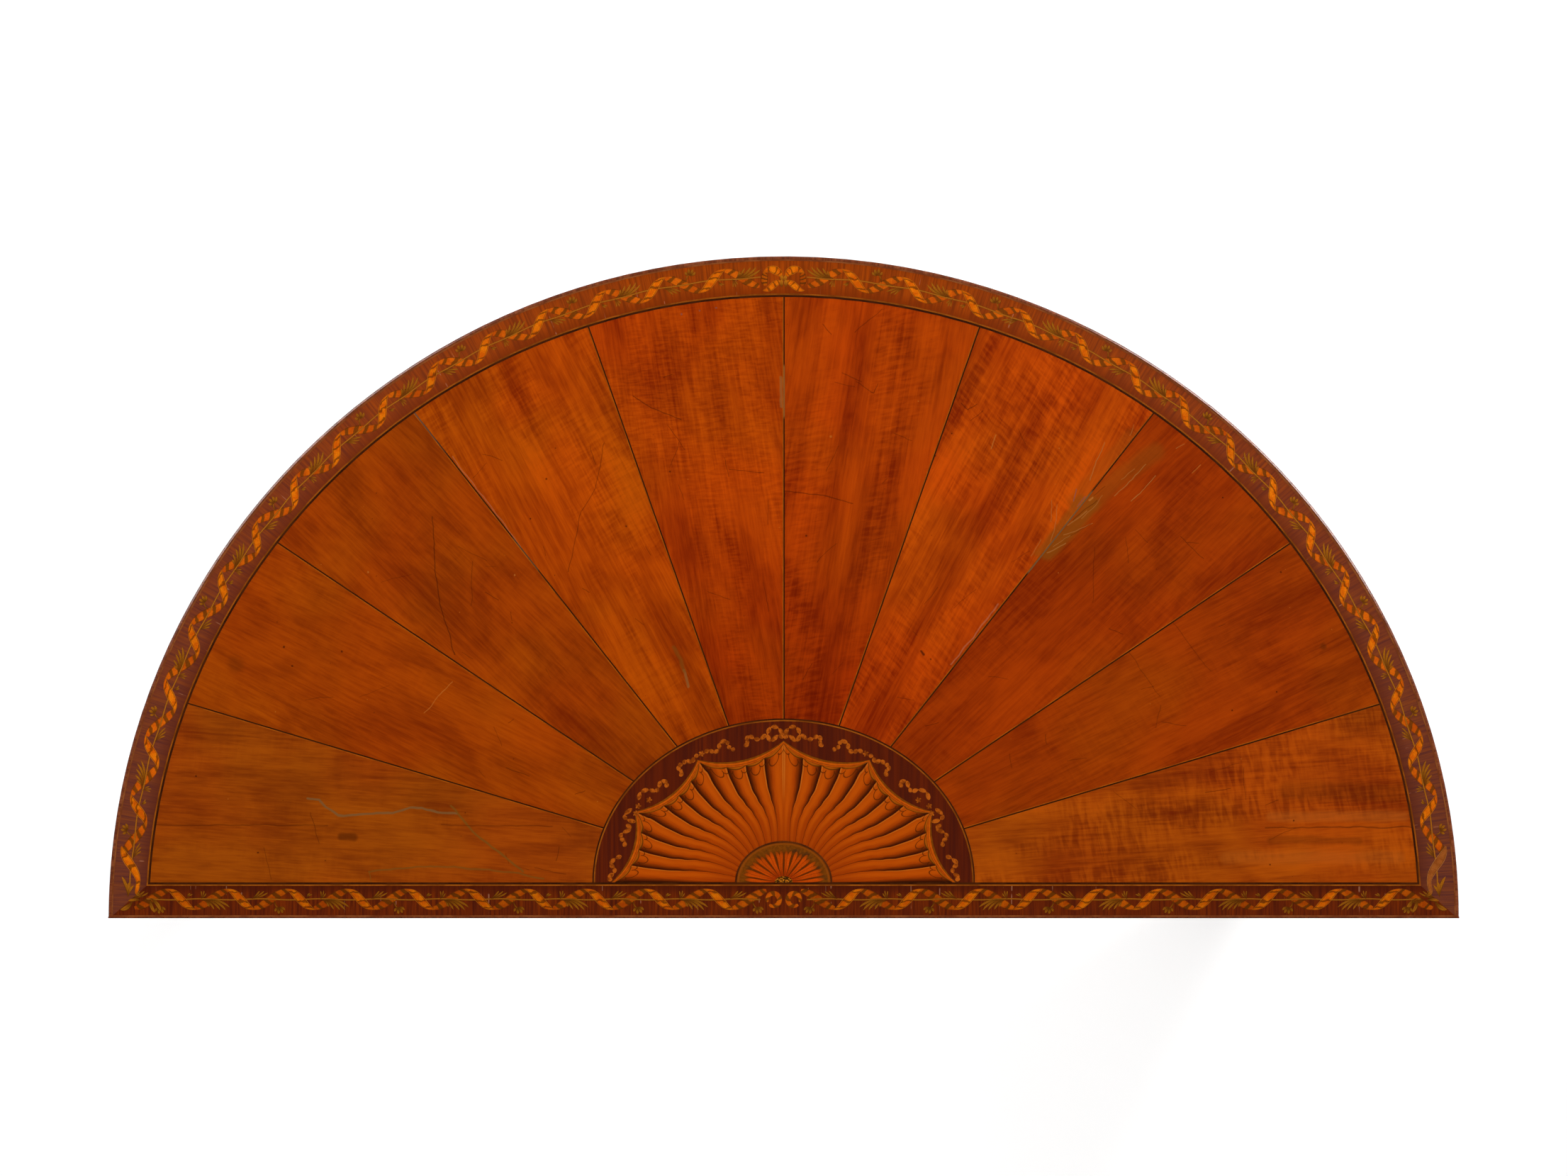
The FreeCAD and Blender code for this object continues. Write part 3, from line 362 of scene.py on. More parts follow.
WEAR = {
    1: (
        (PUTTY, 1.5, 0.85, 430, 191, 419, 192, 413, 199, 402, 206, 372, 205, 352, 203, 338, 199, 326, 199,
         312, 204, 295, 205),
        (OLIVE, 1.4, 0.85, 300, 198, 293, 206, 281, 220, 268, 231, 250, 245, 236, 257),
        (OLIVE, 1.2, 0.7, 374, 257, 352, 255, 330, 253, 307, 252, 284, 254, 256, 257, 232, 260, 217, 263),
        (OLIVE, 0.7, 0.6, 374, 257, 372, 268), (DARK, 0.9, 0.42, 574, 215, 412, 215),
        (DARK, 0.7, 0.36, 309, 215, 209, 216), (STAIN, 5.0, 0.7, 399, 225, 388, 226),
        (DARK, 1.3, 0.8, 531, 170), (DARK, 1.3, 0.8, 475, 240),
    ),
    2: (
        (DARK, 1.3, 0.8, 451, 54), (DARK, 1.4, 0.8, 444, 71), (DARK, 1.3, 0.8, 399, 58),
        (STAIN, 11.0, 0.35, 495, 70), (PALE, 0.6, 0.5, 325, 114, 299, 85),
    ),
    3: (
        (DARK, 0.7, 0.6, 317, -64, 315, -18, 311, 13, 297, 61),
        (DARK, 0.6, 0.45, 281, -23, 282, 16), (PALE, 1.2, 0.7, 375, -13),
        (PALE, 1.2, 0.7, 243, -11), (WHITE, 0.8, 0.18, 299, -118, 237, -36),
    ),
    4: (
        (DARK, 1.3, 0.8, 214, -97), (DARK, 1.2, 0.8, 229, -62), (DARK, 1.3, 0.8, 142, -55),
        (DARK, 0.6, 0.5, 162, -130, 170, -89, 183, -68, 188, -43, 195, -14),
        (FILLER, 1.7, 0.6, 90, 75, 86, 90), (OLIVE, 2.4, 0.5, 100, 55, 93, 66, 90, 76),
        (WHITE, 0.8, 0.16, 299, -118, 237, -36),
    ),
    5: (
        (DARK, 1.2, 0.8, 103, -104), (DARK, 0.6, 0.6, 136, -172, 118, -161, 93, -151),
        (DARK, 0.6, 0.5, 49, -106, 18, -103), (DARK, 0.6, 0.5, 108, -189, 100, -191),
        (FILLER, 1.8, 0.6, 2, -189, 2, -163), (CHIP, 1.6, 0.6, 93, -246), (CHIP, 1.2, 0.6, 76, -250),
        (CHIP, 1.4, 0.6, 61, -252),
    ),
    6: (
        (DARK, 0.6, 0.5, -35, -237, -43, -228), (DARK, 0.6, 0.5, -53, -194, -70, -185),
        (DARK, 0.6, 0.5, -66, -185, -82, -175, -85, -184),
        (DARK, 0.6, 0.45, -64, -230, -89, -252), (DARK, 0.7, 0.55, 0, -86, -35, -83, -63, -75),
        (PALE, 1.6, 0.6, -43, -136), (DARK, 1.5, 0.8, -20, -46),
    ),
    7: (
        (DARK, 0.6, 0.6, -161, -166, -166, -160, -174, -165), (DARK, 1.2, 0.8, -152, -138),
        (DARK, 1.2, 0.8, -137, -119), (PALE, 0.8, 0.6, -187, -125, -192, -138),
        (DARK, 1.8, 0.8, -124, 58, -126, 61), (DARK, 1.2, 0.7, -133, 65),
        (WHITE, 0.9, 0.2, -151, 70, -194, 16),
        (TORN, 5.0, 0.6, -230, -31, -247, -52, -268, -81),
        (TORN, 9.0, 0.3, -262, -78, -292, -114, -313, -137),
        (FIBRE, 0.6, 0.6, -277, -97, -282, -113, -287, -123, -290, -131),
        (FIBRE, 0.5, 0.5, -241, -59, -242, -79), (FIBRE, 0.5, 0.5, -245, -58, -247, -75),
        (FIBRE, 0.6, 0.5, -240, -41, -243, -49, -245, -58), (CHIP, 0.7, 0.6, -262, -78, -264, -88),
        (FIBRE, 0.5, 0.5, -224, -28, -232, -43), (FIBRE, 0.5, 0.5, -313, -137, -316, -146),
        (CHIP, 1.2, 0.5, -266, -73, -272, -82),
    ),
    8: (
        (TORN, 9.0, 0.75, -238, -30, -261, -53, -279, -76),
        (TORN, 12.0, 0.4, -279, -76, -302, -99, -336, -122),
        (FIBRE, 0.5, 0.6, -253, -47, -266, -52, -279, -58),
        (FIBRE, 0.6, 0.6, -299, -82, -311, -94, -327, -111),
        (FIBRE, 0.5, 0.7, -313, -78, -323, -86, -336, -100), (FIBRE, 0.5, 0.45, -305, -97, -317, -107),
        (FIBRE, 0.8, 0.55, -257, -56, -265, -62, -274, -69),
        (STAIN, 0.6, 0.6, -261, -61, -269, -68, -283, -79),
        (STAIN, 0.5, 0.5, -252, -43, -265, -50, -277, -57), (STAIN, 0.6, 0.5, -280, -83, -290, -91),
        (FIBRE, 0.7, 0.6, -238, -31, -245, -35, -255, -40), (PALE, 1.2, 0.7, -276, -79, -279, -81),
        (FIBRE, 0.5, 0.5, -243, -37, -259, -47), (FIBRE, 0.5, 0.5, -354, -125, -362, -129),
        (FIBRE, 0.5, 0.5, -269, -62, -281, -74, -288, -83), (PALE, 0.6, 0.5, -369, -103, -377, -111),
        (DARK, 1.3, 0.8, -396, -81), (DARK, 0.5, 0.4, -281, -36, -279, 14),
        (DARK, 0.5, 0.4, -309, -45, -311, -22), (WHITE, 0.9, 0.16, -151, 70, -194, 16),
    ),
    9: (
        (DARK, 1.2, 0.8, -445, 94), (DARK, 1.2, 0.8, -405, 111),
        (DARK, 1.2, 0.8, -449, -13), (STAIN, 4.0, 0.6, -487, 54),
        (DARK, 0.5, 0.4, -346, 25, -385, 76), (DARK, 0.5, 0.4, -309, 54, -340, 99),
    ),
    10: (
        (STAIN, 13.0, 0.32, -455, 184, -552, 186), (PALE, 7.0, 0.16, -440, 207, -560, 207),
        (STAIN, 5.0, 0.36, -440, 228, -520, 229), (PALE, 9.0, 0.12, -400, 244, -555, 244),
        (DARK, 0.9, 0.5, -435, 217, -569, 217), (DARK, 1.3, 0.8, -461, 210),
        (DARK, 1.3, 0.8, -439, 250), (DARK, 0.5, 0.4, -415, 163, -417, 192),
    ),
}

worn = bpy.data.node_groups.new("worn_mark", "ShaderNodeTree")
for socket, kind in (("Spot", "Vector"), ("From", "Vector"), ("To", "Vector"), ("Half Width", "Float")):
    worn.interface.new_socket(socket, in_out="INPUT", socket_type=f"NodeSocket{kind}")
worn.interface.new_socket("Share", in_out="OUTPUT", socket_type="NodeSocketFloat")
given = worn.nodes.new("NodeGroupInput")
result = worn.nodes.new("NodeGroupOutput")
cloud = worn.nodes.new("ShaderNodeTexNoise")
cloud.inputs["Scale"].default_value = 60.0
put(given.outputs["Spot"], cloud.inputs["Vector"])
shift = vector("SUBTRACT", cloud.outputs["Color"], (0.5, 0.5, 0.5))
spot = vector("ADD", given.outputs["Spot"], vector("MULTIPLY", shift, (0.004, 0.004, 0.0)))
gap = vector("MULTIPLY", vector("SUBTRACT", spot, given.outputs["From"]), (1.0, 1.0, 0.0))
way = vector("SUBTRACT", given.outputs["To"], given.outputs["From"])
share = calc("DIVIDE", vector("DOT_PRODUCT", gap, way), vector("DOT_PRODUCT", way, way))
share = calc("MINIMUM", calc("MAXIMUM", share, 0.0), 1.0)
far = vector("LENGTH", vector("SUBTRACT", gap, vector("MULTIPLY", way, share)))
half = given.outputs["Half Width"]
put(rise(far, half, times(half, 0.3)), result.inputs["Share"])


def stroke(spot, half, *run):
    """1 along a line of x, y pairs in millimetres and 0 half a width away from it."""
    total = 0.0
    points = list(zip(run[::2], run[1::2]))
    for near, far in zip(points, points[1:] or points):
        step = add("Group", spot)
        step.node_tree = worn
        put(spot, step.inputs["Spot"])
        step.inputs["From"].default_value = (near[0] / 1000, near[1] / 1000, 0.0)
        step.inputs["To"].default_value = (far[0] / 1000, far[1] / 1000, 0.0)
        step.inputs["Half Width"].default_value = half / 1000
        total = calc("MAXIMUM", total, step.outputs[0])
    return total


def fan(turn, number):
    """Grain that runs out from the patera's middle along one wedge."""
    def place(tree):
        spin = tree.nodes.new("ShaderNodeVectorRotate")
        spin.rotation_type = "Z_AXIS"
        put(vector("SUBTRACT", coordinates(tree), FAN_CENTRE), spin.inputs["Vector"])
        spin.inputs["Angle"].default_value = -turn
        return vector("ADD", spin.outputs[0], (0.37 * number, 0.23 * number, 0.11 * number))
    return place


scratches = random.Random(5)
for number, (colour, bands, cloud, ripple, pace, lean, scorch, way) in enumerate(PANELS, 1):
    turn = radians(way)
    grain = fan(atan2(-FIELD[1] * sin(turn), FIELD[0] * cos(turn)), number)
    panel, tree, shader, wood = satin(
        f"satinwood_panel_{number:02d}", colour, grain, bands, cloud, ripple, pace, lean)
    spot = coordinates(tree)
    flat = vector("MULTIPLY", vector("SUBTRACT", spot, FAN_CENTRE), (1.0, 1.0, 0.0))
    near = rise(vector("LENGTH", flat), 0.36, 0.15)
    wood = blend(times(near, scorch), wood, (0.74, 0.56, 0.6, 1.0), "MULTIPLY")
    tint = rise(noise(spot, (9.0, 9.0, 9.0), 2.0), 0.34, 0.66)
    tint = blend(tint, (1.03, 0.95, 1.0, 1.0), (0.97, 1.06, 1.0, 1.0))
    wood = blend(1.0, wood, tint, "MULTIPLY")
    specks = tree.nodes.new("ShaderNodeTexVoronoi")
    specks.voronoi_dimensions = "2D"
    specks.inputs["Scale"].default_value = 24.0
    put(spot, specks.inputs["Vector"])
    kind = tree.nodes.new("ShaderNodeSeparateColor")
    put(specks.outputs["Color"], kind.inputs[0])
    size = calc("MULTIPLY_ADD", kind.outputs[1], 0.014, 0.006)
    speck = rise(specks.outputs["Distance"], size, times(size, 0.4))
    for low, high, depth, colour in ((0.66, 0.9, 0.7, DARK), (0.2, 0.05, 0.6, PALE)):
        chosen = times(rise(kind.outputs[0], low, high), depth)
        wood = stain(speck, chosen, wood, colour)
    for scratch in range(7):
        angle = radians(WEDGE * number - scratches.uniform(2, 16))
        reach = scratches.uniform(0.36, 0.9)
        lean = radians(scratches.uniform(0, 360))
        length = scratches.uniform(3, 15)
        x = SCRATCHED[0] * reach * cos(angle)
        y = 1000 * FAN_CENTRE[1] - SCRATCHED[1] * reach * sin(angle)
        dx, dy = length * cos(lean), length * sin(lean)
        thin = stroke(spot, 0.45, x - dx, y - dy, x + dx, y + dy)
        wood = stain(thin, scratches.uniform(0.3, 0.6), wood, DARK)
    for colour, half, depth, *run in WEAR[number]:
        wood = stain(stroke(spot, half, *run), depth, wood, colour)
    put(wood, shader.inputs["Base Color"])
    dress([f"satinwood_panel_{number:02d}"], panel)

# Rays between the panels
# An ebony line with a box line beside it in each joint of the fan.
# Old repairs have left pale filler in places.
ray_box = line_wood("boxwood_ray", srgb(168, 82, 12), srgb(142, 60, 8))[0]
dress(["ray_box_lines"], ray_box)
ray_ebony, tree, shader, wood = line_wood("ebony_ray", srgb(40, 20, 4), srgb(58, 30, 6))
for colour, depth, *run in (
    (srgb(122, 88, 54), 0.7, -222, -16, -276, -84),
    (srgb(150, 96, 44), 0.7, 0, -197, 0, -157),
    (srgb(120, 88, 66), 0.6, 336, -158, 304, -110),
    (srgb(112, 80, 50), 0.5, 224, -18, 244, -40),
):
    wood = stain(stroke(coordinates(tree), 6.0, *run), depth, wood, colour)
put(wood, shader.inputs["Base Color"])
dress(["ray_ebony_lines"], ray_ebony)

# Crossbanded border of the top
# Kingwood cut across the grain in short lengths, two halves round the curve and two along the back,
# mitred at the corners. Its dark lines stand square to the edge, with pale shrinkage cracks here and there.
TOP = 0.85
GROUND = TOP - 0.00016
VENEER = TOP - 0.0012
HALF_WIDTH = 0.610
RISE = 0.598
CURVED_INSETS = (0.0042, 0.0338)
BACK_LINES = (0.2698, 0.2964)


def between(low, high, share):
    return low + (high - low) * share


def grid(count, width, point):
    """Rows of points across a slip, from point(share along, share across)."""
    return [[point(i / count, j / width) for j in range(width + 1)] for i in range(count + 1)]


def start():
    return {"points": [], "faces": [], "uv": [], "tone": [], "slips": 0}


def lay(cut, rows, top, low, tone=1.0, climb=0.0):
    """One slip of veneer from rows of (x, y, u, v): a top, a bottom and the sawn edge between."""
    base = len(cut["points"])
    count, width = len(rows), len(rows[0])
    for level, rising in ((top, climb / (count - 1)), (low, 0.0)):
        for i, row in enumerate(rows):
            for x, y, u, v, *own in row:
                cut["points"].append((x, y, level + rising * i))
                cut["uv"].append((u, v))
                cut["tone"].append(own[0] if own else tone)
    under = count * width
    for i in range(count - 1):
        for j in range(width - 1):
            a = base + i * width + j
            cut["faces"].append((a, a + 1, a + width + 1, a + width))
            cut["faces"].append((under + a, under + a + width, under + a + width + 1, under + a + 1))
    rim = [base + j for j in range(width)]
    rim += [base + i * width + width - 1 for i in range(1, count)]
    rim += [base + (count - 1) * width + j for j in range(width - 2, -1, -1)]
    rim += [base + i * width for i in range(count - 2, 0, -1)]
    for a, b in zip(rim, rim[1:] + rim[:1]):
        cut["faces"].append((b, a, under + a, under + b))


def piece(cut, name, finish, stands_for=()):
    """Makes the slips one object of the table, with their normals out."""
    mesh = bpy.data.meshes.new(name)
    mesh.from_pydata(cut["points"], [], cut["faces"])
    layer = mesh.uv_layers.new(name="slip")
    for loop in mesh.loops:
        layer.data[loop.index].uv = cut["uv"][loop.vertex_index]
    tone = mesh.attributes.new("tone", "FLOAT", "POINT")
    tone.data.foreach_set("value", cut["tone"])
    made = bpy.data.objects.new(name, mesh)
    bpy.context.scene.collection.objects.link(made)
    bpy.ops.object.select_all(action="DESELECT")
    bpy.context.view_layer.objects.active = made
    made.select_set(True)
    bpy.ops.object.mode_set(mode="EDIT")
    bpy.ops.mesh.select_all(action="SELECT")
    bpy.ops.mesh.normals_make_consistent(inside=False)
    bpy.ops.object.mode_set(mode="OBJECT")
    mesh.materials.append(finish)
    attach(made, "root")
    if stands_for:
        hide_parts(*stands_for)


def uv_place(tree):
    return coordinates(tree, "UV")


def border_wood(name, base, dark, glow, inner, middle, ends):
    made, tree, shader, wood = crossband(name, base, dark, glow, uv_place, 0.5)
    parts = split(uv_place(tree))
    wood = stain(rise(parts[1], 0.6, 1.0), 0.7, wood, inner)
    run = rise(calc("ABSOLUTE", parts[0]), 0.05, 0.9)
    wood = blend(1.0, wood, blend(run, middle, ends), "MULTIPLY")
    crack = rise(noise(uv_place(tree), (430.0, 0.35, 1.0), 0.0), 0.74, 0.8)
    reach = rise(noise(uv_place(tree), (40.0, 3.0, 1.0), 1.0, 0.4), 0.5, 0.6)
    wood = stain(times(crack, reach), 0.55, wood, srgb(172, 112, 80))
    put(wood, shader.inputs["Base Color"])
    return made


PLAIN = (1.0, 1.0, 1.0, 1.0)
curved_ground = border_wood(
    "kingwood_curved", srgb(124, 50, 20), srgb(86, 34, 22), srgb(140, 58, 16), srgb(102, 36, 12),
    (1.5, 1.38, 0.35, 1.0), (0.77, 1.12, 2.3, 1.0))
back_ground = border_wood(
    "kingwood_back", srgb(98, 33, 8), srgb(60, 19, 10), srgb(116, 42, 6), srgb(70, 22, 8), PLAIN, PLAIN)


def mitre_angle(inset):
    """Where the curve at this inset runs into the mitre line of its corner."""
    (x1, y1), (x2, y2) = MITRE
    low, high = 1.2, pi / 2
    for turn in range(40):
        middle = (low + high) / 2
        x = (HALF_WIDTH - inset) * sin(middle)
        y = CENTRE_Y - (RISE - inset) * cos(middle)
        if (x2 - x1) * (y - y1) - (y2 - y1) * (x - x1) < 0:
            low = middle
        else:
            high = middle
    return low


def corner(inset, y):
    return (HALF_WIDTH - inset) * sqrt(1 - ((CENTRE_Y - y) / (RISE - inset)) ** 2)


MITRE = (
    (corner(CURVED_INSETS[1], BACK_LINES[0]), BACK_LINES[0]),
    (corner(CURVED_INSETS[0], BACK_LINES[1]), BACK_LINES[1]),
)
BAND_RADIUS = 0.59
for side_name, side in (("right", 1), ("left", -1)):
    def on_round(along, across):
        inset = between(*CURVED_INSETS, across)
        turn = mitre_angle(inset) * along
        x = side * (HALF_WIDTH - inset) * sin(turn)
        return x, CENTRE_Y - (RISE - inset) * cos(turn), side * BAND_RADIUS * turn, across

    def on_straight(along, across):
        x = side * along * between(MITRE[1][0], MITRE[0][0], across)
        return x, between(BACK_LINES[1], BACK_LINES[0], across), x + 3.0, across

    for part, rows, finish in (
        ("curved", grid(120, 6, on_round), curved_ground),
        ("back", grid(30, 6, on_straight), back_ground),
    ):
        ground = start()
        lay(ground, rows, GROUND, VENEER)
        piece(ground, f"border_wood_{part}_{side_name}", finish, [f"border_{part}_{side_name}"])

# Ribbon and leaf marquetry of the border
# Sawn with a fretsaw from dyed holly and box, scorched in hot sand for the shading and engraved after
# laying: a striped ribbon wound round a stem, with a feathered sprig or a bud in each turn.
PITCH = 0.054
STEM_START = 0.021
STEM_WIDTH = 0.0014
RIBBON_REACH = 0.0096
BACK_SHIFT = 0.0012
THINNEST = 0.00004
HAIR = 0.000002
CURVED_FIRST = 0.064
BACK_FIRST = 0.0576
LOW = TOP - 0.0006
LEVELS = {}
for step, name in enumerate(("back", "stem", "leaf", "front", "knot")):
    LEVELS[name] = TOP - 0.00015 + 0.000028 * step
ARC_STEPS = 2000

middle_inset = sum(CURVED_INSETS) / 2
quarter_step = pi / 2 / ARC_STEPS
arc = [0.0]
for step in range(ARC_STEPS):
    turn = quarter_step * (step + 0.5)
    pace = hypot((HALF_WIDTH - middle_inset) * cos(turn), (RISE - middle_inset) * sin(turn))
    arc.append(arc[-1] + pace * quarter_step)


def on_curve(side):
    """Places a point so far round the curve from the middle of the front, so far out of the band's middle."""
    across, deep = HALF_WIDTH - middle_inset, RISE - middle_inset

    def place(run, out):
        low = min(max(bisect_left(arc, run) - 1, 0), ARC_STEPS - 1)
        turn = quarter_step * (low + (run - arc[low]) / (arc[low + 1] - arc[low]))
        nx, ny = deep * sin(turn), -across * cos(turn)
        size = hypot(nx, ny)
        x = across * sin(turn) + out * nx / size
        y = CENTRE_Y - deep * cos(turn) + out * ny / size
        return side * x, y
    return place


def on_back(side):
    """Places a point so far along the back from its middle, so far out towards the wall."""
    def place(run, out):
        return side * run, sum(BACK_LINES) / 2 - BACK_SHIFT + out
    return place


def slip(cut, place, path, widths, level, tone=1.0, across=3, tilt=None, climb=0.0):
    """A slip along a path of (run, out) points, so wide at each; tilt sets the way its width lies.

    Each stands a hair higher than the one before, so that slips that cross never share a plane,
    and it is thinner at a tight bend, so that it never folds over itself.
    """
    rows = []
    last = len(path) - 1
    for i, (run, out) in enumerate(path):
        ahead, behind = path[min(i + 1, last)], path[max(i - 1, 0)]
        width = max(widths[i], THINNEST)
        if tilt:
            nx, ny = tilt
        else:
            dx, dy = ahead[0] - behind[0], ahead[1] - behind[1]
            size = hypot(dx, dy) or 1.0
            nx, ny = -dy / size, dx / size
            bend = abs((run - behind[0]) * (ahead[1] - out) - (out - behind[1]) * (ahead[0] - run))
            if bend:
                radius = dist(behind, (run, out)) * dist(ahead, (run, out)) * size / (2 * bend)
                width = min(width, 1.7 * radius)
        row = []
        for j in range(across):
            off = (j / (across - 1) - 0.5) * width
            x, y = place(run + nx * off, out + ny * off)
            row.append((x, y, i / last, j / (across - 1)))
        rows.append(row)
    lift = HAIR * (cut["slips"] % 13)
    cut["slips"] += 1
    lay(cut, rows, LEVELS[level] + lift, LOW, tone, climb)


def leaf(cut, place, root, tip, width, bend, level, tone=1.0, belly=0.55):
    """A pointed leaf from root to tip, bowed to one side and widest at its belly."""
    path, widths = [], []
    dx, dy = tip[0] - root[0], tip[1] - root[1]
    for i in range(9):
        share = i / 8
        sway = bend * 4 * share * (1 - share)
        path.append((root[0] + dx * share - dy * sway, root[1] + dy * share + dx * sway))
        widths.append(width * sin(pi * share ** (log(0.5) / log(belly))) ** 0.8 + 0.0001)
    slip(cut, place, path, widths, level, tone)


def smooth(points, steps):
    """A soft curve through the points."""
    ends = [points[0], *points, points[-1]]
    made = []
    for p0, p1, p2, p3 in zip(ends, ends[1:], ends[2:], ends[3:]):
        for step in range(steps):
            t = step / steps
            made.append(tuple(
                b + 0.5 * t * (c - a + t * (2 * a - 5 * b + 4 * c - d + t * (3 * b - a - 3 * c + d)))
                for a, b, c, d in zip(p0, p1, p2, p3)))
    return made + [points[-1]]


def ribbon_front(cut, place, run, tone):
    """The near face of a turn, from the outer edge of the band over the stem to the inner edge."""
    path, widths = [], []
    for i in range(19):
        turn = pi * i / 18
        path.append((run + 0.0080 * (turn - pi / 2) + 0.0008, RIBBON_REACH * cos(turn)))
        widths.append(RIBBON_REACH * sin(turn) ** 0.42 + 0.0003)
    slip(cut, place, path, widths, "front", tone, 5, (1.0, 0.0))


def ribbon_back(cut, place, run, tone):
    """The far face of a turn, from the inner edge behind the stem to the outer edge."""
    path, widths = [], []
    for i in range(15):
        share = i / 14
        path.append((run + 0.0120 + 0.0305 * share, -0.0082 * cos(pi * (0.08 + 0.84 * share))))
        widths.append(0.0082 * sin(pi * (0.05 + 0.9 * share)) ** 0.5)
    slip(cut, place, path, widths, "back", tone, 5)


def spray(cut, place, run, root, tone, belly, *tips):
    """Leaves from one root; a tip is where it lies past the turn, how far out, its width and its bow."""
    for along, out, width, bend in tips:
        tip = (run + along, out)
        leaf(cut, place, (run + root[0], root[1]), tip, width, bend, "leaf", tone, belly)


def ribbon(cut, place, points, steps, level, tone):
    """A slip through points of (run, out, width) in millimetres."""
    path = smooth([tuple(part / 1000 for part in point) for point in points], steps)
    slip(cut, place, [point[:2] for point in path], [point[2] for point in path], level, tone, 5)


SPRIG_TURN = (
    ((0.0326, 0.0002), 0.95, 0.68, (0.0105, 0.0072, 0.0021, 0.10), (0.0140, 0.0100, 0.0022, 0.12),
     (0.0190, 0.0098, 0.0020, 0.10), (0.0245, 0.0092, 0.0018, 0.06), (0.0290, 0.0068, 0.0016, 0.02)),
    ((0.0365, -0.0003), 0.9, 0.7, (0.0318, -0.0056, 0.0012, -0.08), (0.0338, -0.0080, 0.0012, -0.08),
     (0.0366, -0.0076, 0.0012, -0.08)),
    ((0.0490, -0.0016), 0.9, 0.6, (0.0440, -0.0044, 0.0014, 0.1), (0.0462, -0.0056, 0.0014, 0.1)),
)
BUD_TURN = (
    ((0.0245, 0.0006), 0.81, 0.55, (0.0205, 0.0082, 0.0010, -0.12)),
    ((0.0205, 0.0074), 0.9, 0.62, (0.0146, 0.0098, 0.0024, 0.16), (0.0166, 0.0124, 0.0026, 0.08),
     (0.0200, 0.0132, 0.0026, -0.06), (0.0236, 0.0112, 0.0024, -0.18)),
    ((0.0450, -0.0004), 0.9, 0.7, (0.0300, -0.0062, 0.0015, -0.06), (0.0335, -0.0076, 0.0015, -0.06),
     (0.0375, -0.0078, 0.0015, -0.06)),
)


def tone_of(tree):
    source = tree.nodes.new("ShaderNodeAttribute")
    source.attribute_name = "tone"
    return source.outputs["Fac"]


def engraved(name, build):
    """Marquetry wood; build(tree, along, edge) colours it by the way along and out from its middle."""
    made, tree, shader = material(name, POLISHED, 0.2, 0.35)
    parts = split(uv_place(tree))
    off = calc("ABSOLUTE", calc("SUBTRACT", parts[1], 0.5))
    wood = build(tree, parts[0], times(off, 2.0))
    speck = noise(coordinates(tree), (900.0, 900.0, 900.0), 2.0, 0.6)
    shade = calc("MULTIPLY_ADD", rise(speck, 0.3, 0.7), 0.24, 0.88)
    wood = blend(1.0, wood, times(shade, tone_of(tree)), "MULTIPLY")
    put(wood, shader.inputs["Base Color"])
    relief(shader, speck, 0.00003)
    return made


def bars_at(along, places, half):
    """Soft cross bars at these places along a slip."""
    total = 0.0
    for place in places:
        gap = calc("ABSOLUTE", calc("SUBTRACT", along, place))
        total = calc("ADD", total, rise(gap, half, half * 0.45))
    return calc("MINIMUM", total, 1.0)


def front_wood(tree, along, edge):
    cloud = noise(coordinates(tree), (160.0, 160.0, 160.0), 2.0, 0.5)
    wood = blend(rise(cloud, 0.35, 0.65), srgb(206, 88, 3), srgb(222, 114, 6))
    waved = calc("MULTIPLY_ADD", calc("SUBTRACT", cloud, 0.5), 0.25, along)
    tips = calc("ADD", rise(along, 0.2, 0.04), rise(along, 0.8, 0.96))
    wood = stain(tips, 0.55, wood, srgb(140, 70, 6))
    wood = stain(bars_at(waved, (0.22, 0.44, 0.74), 0.045), 0.8, wood, srgb(100, 46, 5))
    rim = times(rise(edge, 0.86, 0.92), 0.8)
    wood = stain(bars_at(edge, (0.8,), 0.1), 0.7, wood, srgb(96, 44, 6))
    return blend(rim, wood, srgb(188, 106, 22))


def back_wood(tree, along, edge):
    parts = split(uv_place(tree))
    cloud = noise(coordinates(tree), (130.0, 130.0, 130.0), 2.0, 0.5)
    skew = calc("MULTIPLY_ADD", parts[1], 0.1, calc("MULTIPLY_ADD", cloud, 0.16, along))
    wave = calc("FRACT", times(skew, 4.0))
    dark = calc("ADD", rise(wave, 0.58, 0.76), rise(wave, 0.12, 0.0))
    wood = blend(rise(cloud, 0.35, 0.65), srgb(172, 68, 4), srgb(194, 88, 6))
    wood = blend(calc("MINIMUM", dark, 0.9), wood, srgb(98, 50, 7))
    return stain(rise(edge, 0.7, 0.95), 0.75, wood, srgb(84, 38, 7))


def leaf_wood(tree, along, edge):
    wood = blend(rise(along, 0.1, 0.8), srgb(106, 56, 8), srgb(168, 98, 17))
    wood = stain(rise(edge, 0.18, 0.02), 0.6, wood, srgb(96, 50, 8))
    return blend(rise(edge, 0.62, 0.96), wood, srgb(86, 44, 10))


def stem_wood(tree, along, edge):
    return blend(rise(edge, 0.45, 0.95), srgb(168, 98, 20), srgb(90, 46, 12))


def mend_wood(tree, along, edge):
    cloud = noise(coordinates(tree), (160.0, 160.0, 160.0), 2.0, 0.5)
    wood = blend(rise(cloud, 0.35, 0.65), srgb(142, 72, 24), srgb(158, 86, 32))
    wood = stain(bars_at(edge, (0.82,), 0.1), 0.5, wood, srgb(96, 46, 14))
    return blend(rise(edge, 0.88, 0.94), wood, srgb(178, 112, 56))


